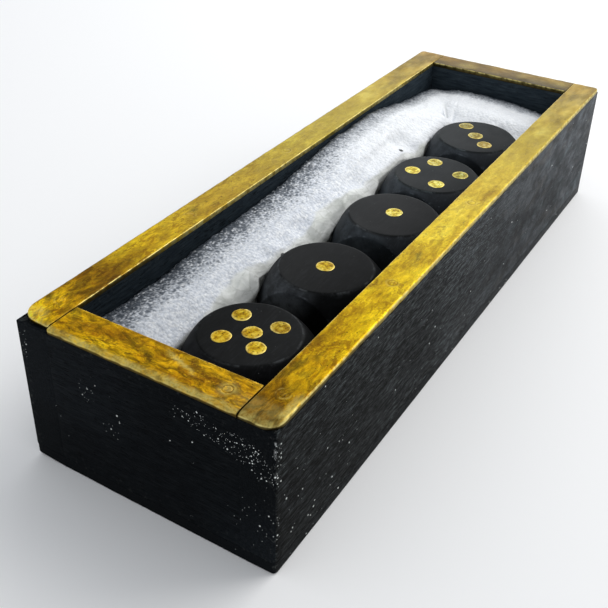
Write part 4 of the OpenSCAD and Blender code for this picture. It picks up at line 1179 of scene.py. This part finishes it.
    # film: long folds that run with the strip, some turning down to the gaps between the dice
    q = np.c_[ss * 0.30, tt + 0.10 * ss, np.zeros_like(tt)]
    qw = q + 1.1 * np.c_[fnoise(flat, 0.14, 121, 2), fnoise(flat, 0.14, 122, 2), 0 * tt]
    ridge = np.clip(1 - np.abs(fnoise(qw, 0.26, 131, 2)) * 2.6, 0, 1) ** 2
    q2 = np.c_[ss * 0.75 - 0.5 * tt, tt * 0.55 + 0.2 * ss, np.zeros_like(tt)] + 0.8 * np.c_[fnoise(flat, 0.3, 123, 2), fnoise(flat, 0.3, 124, 2), 0 * tt]
    ridge2 = np.clip(1 - np.abs(fnoise(q2, 0.34, 133, 2)) * 4.0, 0, 1) ** 1.5
    low = smooth(T[13], T[12], tt)
    lift = skin * low * (0.34 * ridge + 0.10 * ridge2 + 0.20 * fnoise(flat, 0.20, 137, 2) - 0.14)
    # keep clear of the dice low down, where the surface is beside them
    near_die = smooth(T[10] + 0.5, T[11] + 0.6, tt)
    lift = np.where(lift > 0, lift * (1 - 0.55 * near_die), lift)
    flat2 = flat + N * (disp + lift)[:, None]
    # crease where the strip is folded round the last die
    crease_c = n1 + int(n2 * 0.60)
    dcr = np.abs(np.repeat(np.arange(n), k) - crease_c) * step
    dip = np.exp(-(dcr / 1.4) ** 2) * smooth(T[7], T[9], tt) * (1 - smooth(T[11], T[12], tt))
    flat2[:, 2] -= 0.35 * dip
    skin = np.maximum(skin, 0.5 * dip)
    shade = np.maximum(shade, 0.14 * dip)
    # painted shade: the folded film is made grey in its hollows
    hollow = smooth(0.10, 0.42, fnoise(qw, 0.42, 141, 2)) * smooth(-45, -20, flat[:, 0])
    shade = np.maximum(shade, 0.34 * hollow * skin)
    # nothing leaves the space between the walls, or reaches the dice
    flat2[:, 0] = np.clip(flat2[:, 0], -IX + 0.1, IX - 0.1)
    flat2[:, 1] = np.clip(flat2[:, 1], -IY + 0.1, IY - 0.1)
    flat2[:, 2] = np.clip(flat2[:, 2], 7.05, 28.9)
    lim = die_edge_y(flat2[:, 0], flat2[:, 2], 0.16)
    hit = (kk < 2) & (flat2[:, 1] < lim) & (flat2[:, 0] < 46.9)
    flat2[:, 1] = np.where(hit, lim, flat2[:, 1])
    limx = die5_edge_x(flat2[:, 1], flat2[:, 2], 0.16)
    hit = (kk >= 1) & (flat2[:, 0] < limx)
    flat2[:, 0] = np.where(hit, limx, flat2[:, 0])
    idx = np.arange(n * k).reshape(n, k)
    F = []
    a, b, c, d = idx[:-1, :-1], idx[1:, :-1], idx[1:, 1:], idx[:-1, 1:]
    F = np.stack([a, b, c, d], -1).reshape(-1, 4)
    # underside, one long strip from the wall foot to the dice foot
    under = np.stack([idx[:-1, 0], idx[:-1, -1], idx[1:, -1], idx[1:, 0]], -1)
    F = [tuple(q) for q in F] + [tuple(q) for q in under]
    F.append(tuple(idx[0, :]))
    F.append(tuple(idx[-1, ::-1]))
    # two dark specks, where these lines of sight meet the surface
    eye = np.array([-153.8, -74.9, 114.9])
    specks = []
    for (lx, ly), r in (((27.4, 6.8), 0.62), ((-27.3, 4.5), 0.50)):
        d = np.array([lx, ly, 23.0]) - eye
        d /= np.linalg.norm(d)
        off = np.linalg.norm(np.cross(flat2 - eye, d), axis=1) + 100.0 * (tt < T[6])
        near = flat2[off < 0.35]
        hit = near[np.argmin(near @ d)] if len(near) else np.array([lx, ly, 23.0])
        specks.append((float(hit[0]), float(hit[1]), r))
    global FOAM
    FOAM = foam_material("foam", specks)
    ob = make("foam_liner", flat2, F, "foam", ["foam_side_pad", "foam_end_pad"], [FOAM],
              {"skin": skin, "dens": np.clip(dens, 0, 1.15), "shade": np.clip(shade, 0, 1), "glow": np.clip(glow, 0.1, 1.09)})
    bm = bmesh.new()
    bm.from_mesh(ob.data)
    bmesh.ops.recalc_face_normals(bm, faces=bm.faces)
    bm.to_mesh(ob.data)
    bm.free()
    return ob


foam_liner()


def foam_floor():
    """The sheet under the dice: a slab with rounded edges and a cellular face."""
    x1, y1, z0, z1, r, step = IX - 0.3, IY - 0.3, BOARD + 0.02, 7.0, 1.2, 0.42
    p, nrm = outline(-x1, x1, -y1, y1, (1.2,) * 4, step=1.2, jitter=0.15, seed=61)
    nx, ny = int(2 * x1 / step), int(2 * y1 / step)
    gx, gy = np.meshgrid(np.linspace(-x1, x1, nx), np.linspace(-y1, y1, ny), indexing="ij")
    top = np.c_[gx.ravel(), gy.ravel(), np.full(nx * ny, z1)]
    f1, f2, who = cells(top, 0.95, 201)
    dist = np.minimum(x1 - np.abs(top[:, 0]), y1 - np.abs(top[:, 1]))
    fall = r - np.sqrt(np.maximum(r * r - np.maximum(r - dist, 0) ** 2, 0))
    top[:, 2] -= fall + 0.03
    top[:, 2] -= 0.14 * smooth(0.15, 0.6, f1) + 0.1 * (1 + fnoise(top, 0.2, 205, 3)) * 0.5
    bot = top.copy()
    bot[:, 2] = z0 + fall * 0.3
    idx = np.arange(nx * ny).reshape(nx, ny)
    q = np.stack([idx[:-1, :-1], idx[1:, :-1], idx[1:, 1:], idx[:-1, 1:]], -1).reshape(-1, 4)
    o = nx * ny
    # coarse underside: only its border ring is needed
    ring = np.r_[idx[:, 0], idx[-1, 1:], idx[-2::-1, -1], idx[0, -2:0:-1]]
    rim = bot[ring]
    V = np.vstack([top, rim])
    m = len(ring)
    F = [tuple(v) for v in q] + [(ring[j], o + j, o + (j + 1) % m, ring[(j + 1) % m]) for j in range(m)] + [tuple(range(o + m - 1, o - 1, -1))]
    edge_in = np.minimum(IX - np.abs(V[:, 0]), IY - np.abs(V[:, 1]))
    # darker toward the walls: partly the dark wood showing through, partly painted shade
    ob = make("foam_sheet", V, F, "box", ["foam_base_pad"], [FOAM],
              {"skin": np.zeros(len(V)), "dens": 0.25 + 0.65 * smooth(0.0, 4.0, edge_in), "shade": np.zeros(len(V)), "glow": np.full(len(V), 0.9)})
    bm = bmesh.new()
    bm.from_mesh(ob.data)
    bmesh.ops.recalc_face_normals(bm, faces=bm.faces)
    bm.to_mesh(ob.data)
    bm.free()


foam_floor()


# ------------------------------------------------------------------ studio
def plane(name, size, z, mat):
    me = bpy.data.meshes.new(name)
    h = size / 2
    me.from_pydata([(-h, -h, z), (h, -h, z), (h, h, z), (-h, h, z)], [], [(0, 1, 2, 3)])
    ob = bpy.data.objects.new(name, me)
    me.materials.append(mat)
    bpy.context.scene.collection.objects.link(ob)
    return ob


fl = Mat("floor")
fl.set(Base_Color=(0.97, 0.97, 0.97, 1), Roughness=0.9)
fl.b.inputs["Specular IOR Level"].default_value = 0.1
plane("floor", 6.0, 0.0, fl.m)

world = bpy.data.worlds.new("studio")
bpy.context.scene.world = world
world.use_nodes = True
world.node_tree.nodes["Background"].inputs["Color"].default_value = (0.93, 0.96, 1.0, 1)
world.node_tree.nodes["Background"].inputs["Strength"].default_value = 0.64


def area(name, loc, target, size, power, colour=(1, 1, 1)):
    d = bpy.data.lights.new(name, "AREA")
    d.shape = "RECTANGLE"
    d.size, d.size_y = size
    d.energy = power
    d.color = colour
    o = bpy.data.objects.new(name, d)
    o.location = loc
    o.rotation_mode = "QUATERNION"
    o.rotation_quaternion = (Vector(target) - Vector(loc)).to_track_quat("-Z", "Y")
    bpy.context.scene.collection.objects.link(o)


area("key", (0.34, -0.22, 0.42), (0.02, 0, 0.02), (0.45, 0.45), 1.9, (1.0, 0.985, 0.96))
area("far_card", (0.62, 0.20, 0.24), (0.0, 0, 0.02), (0.70, 0.30), 1.1, (0.97, 0.985, 1.0))
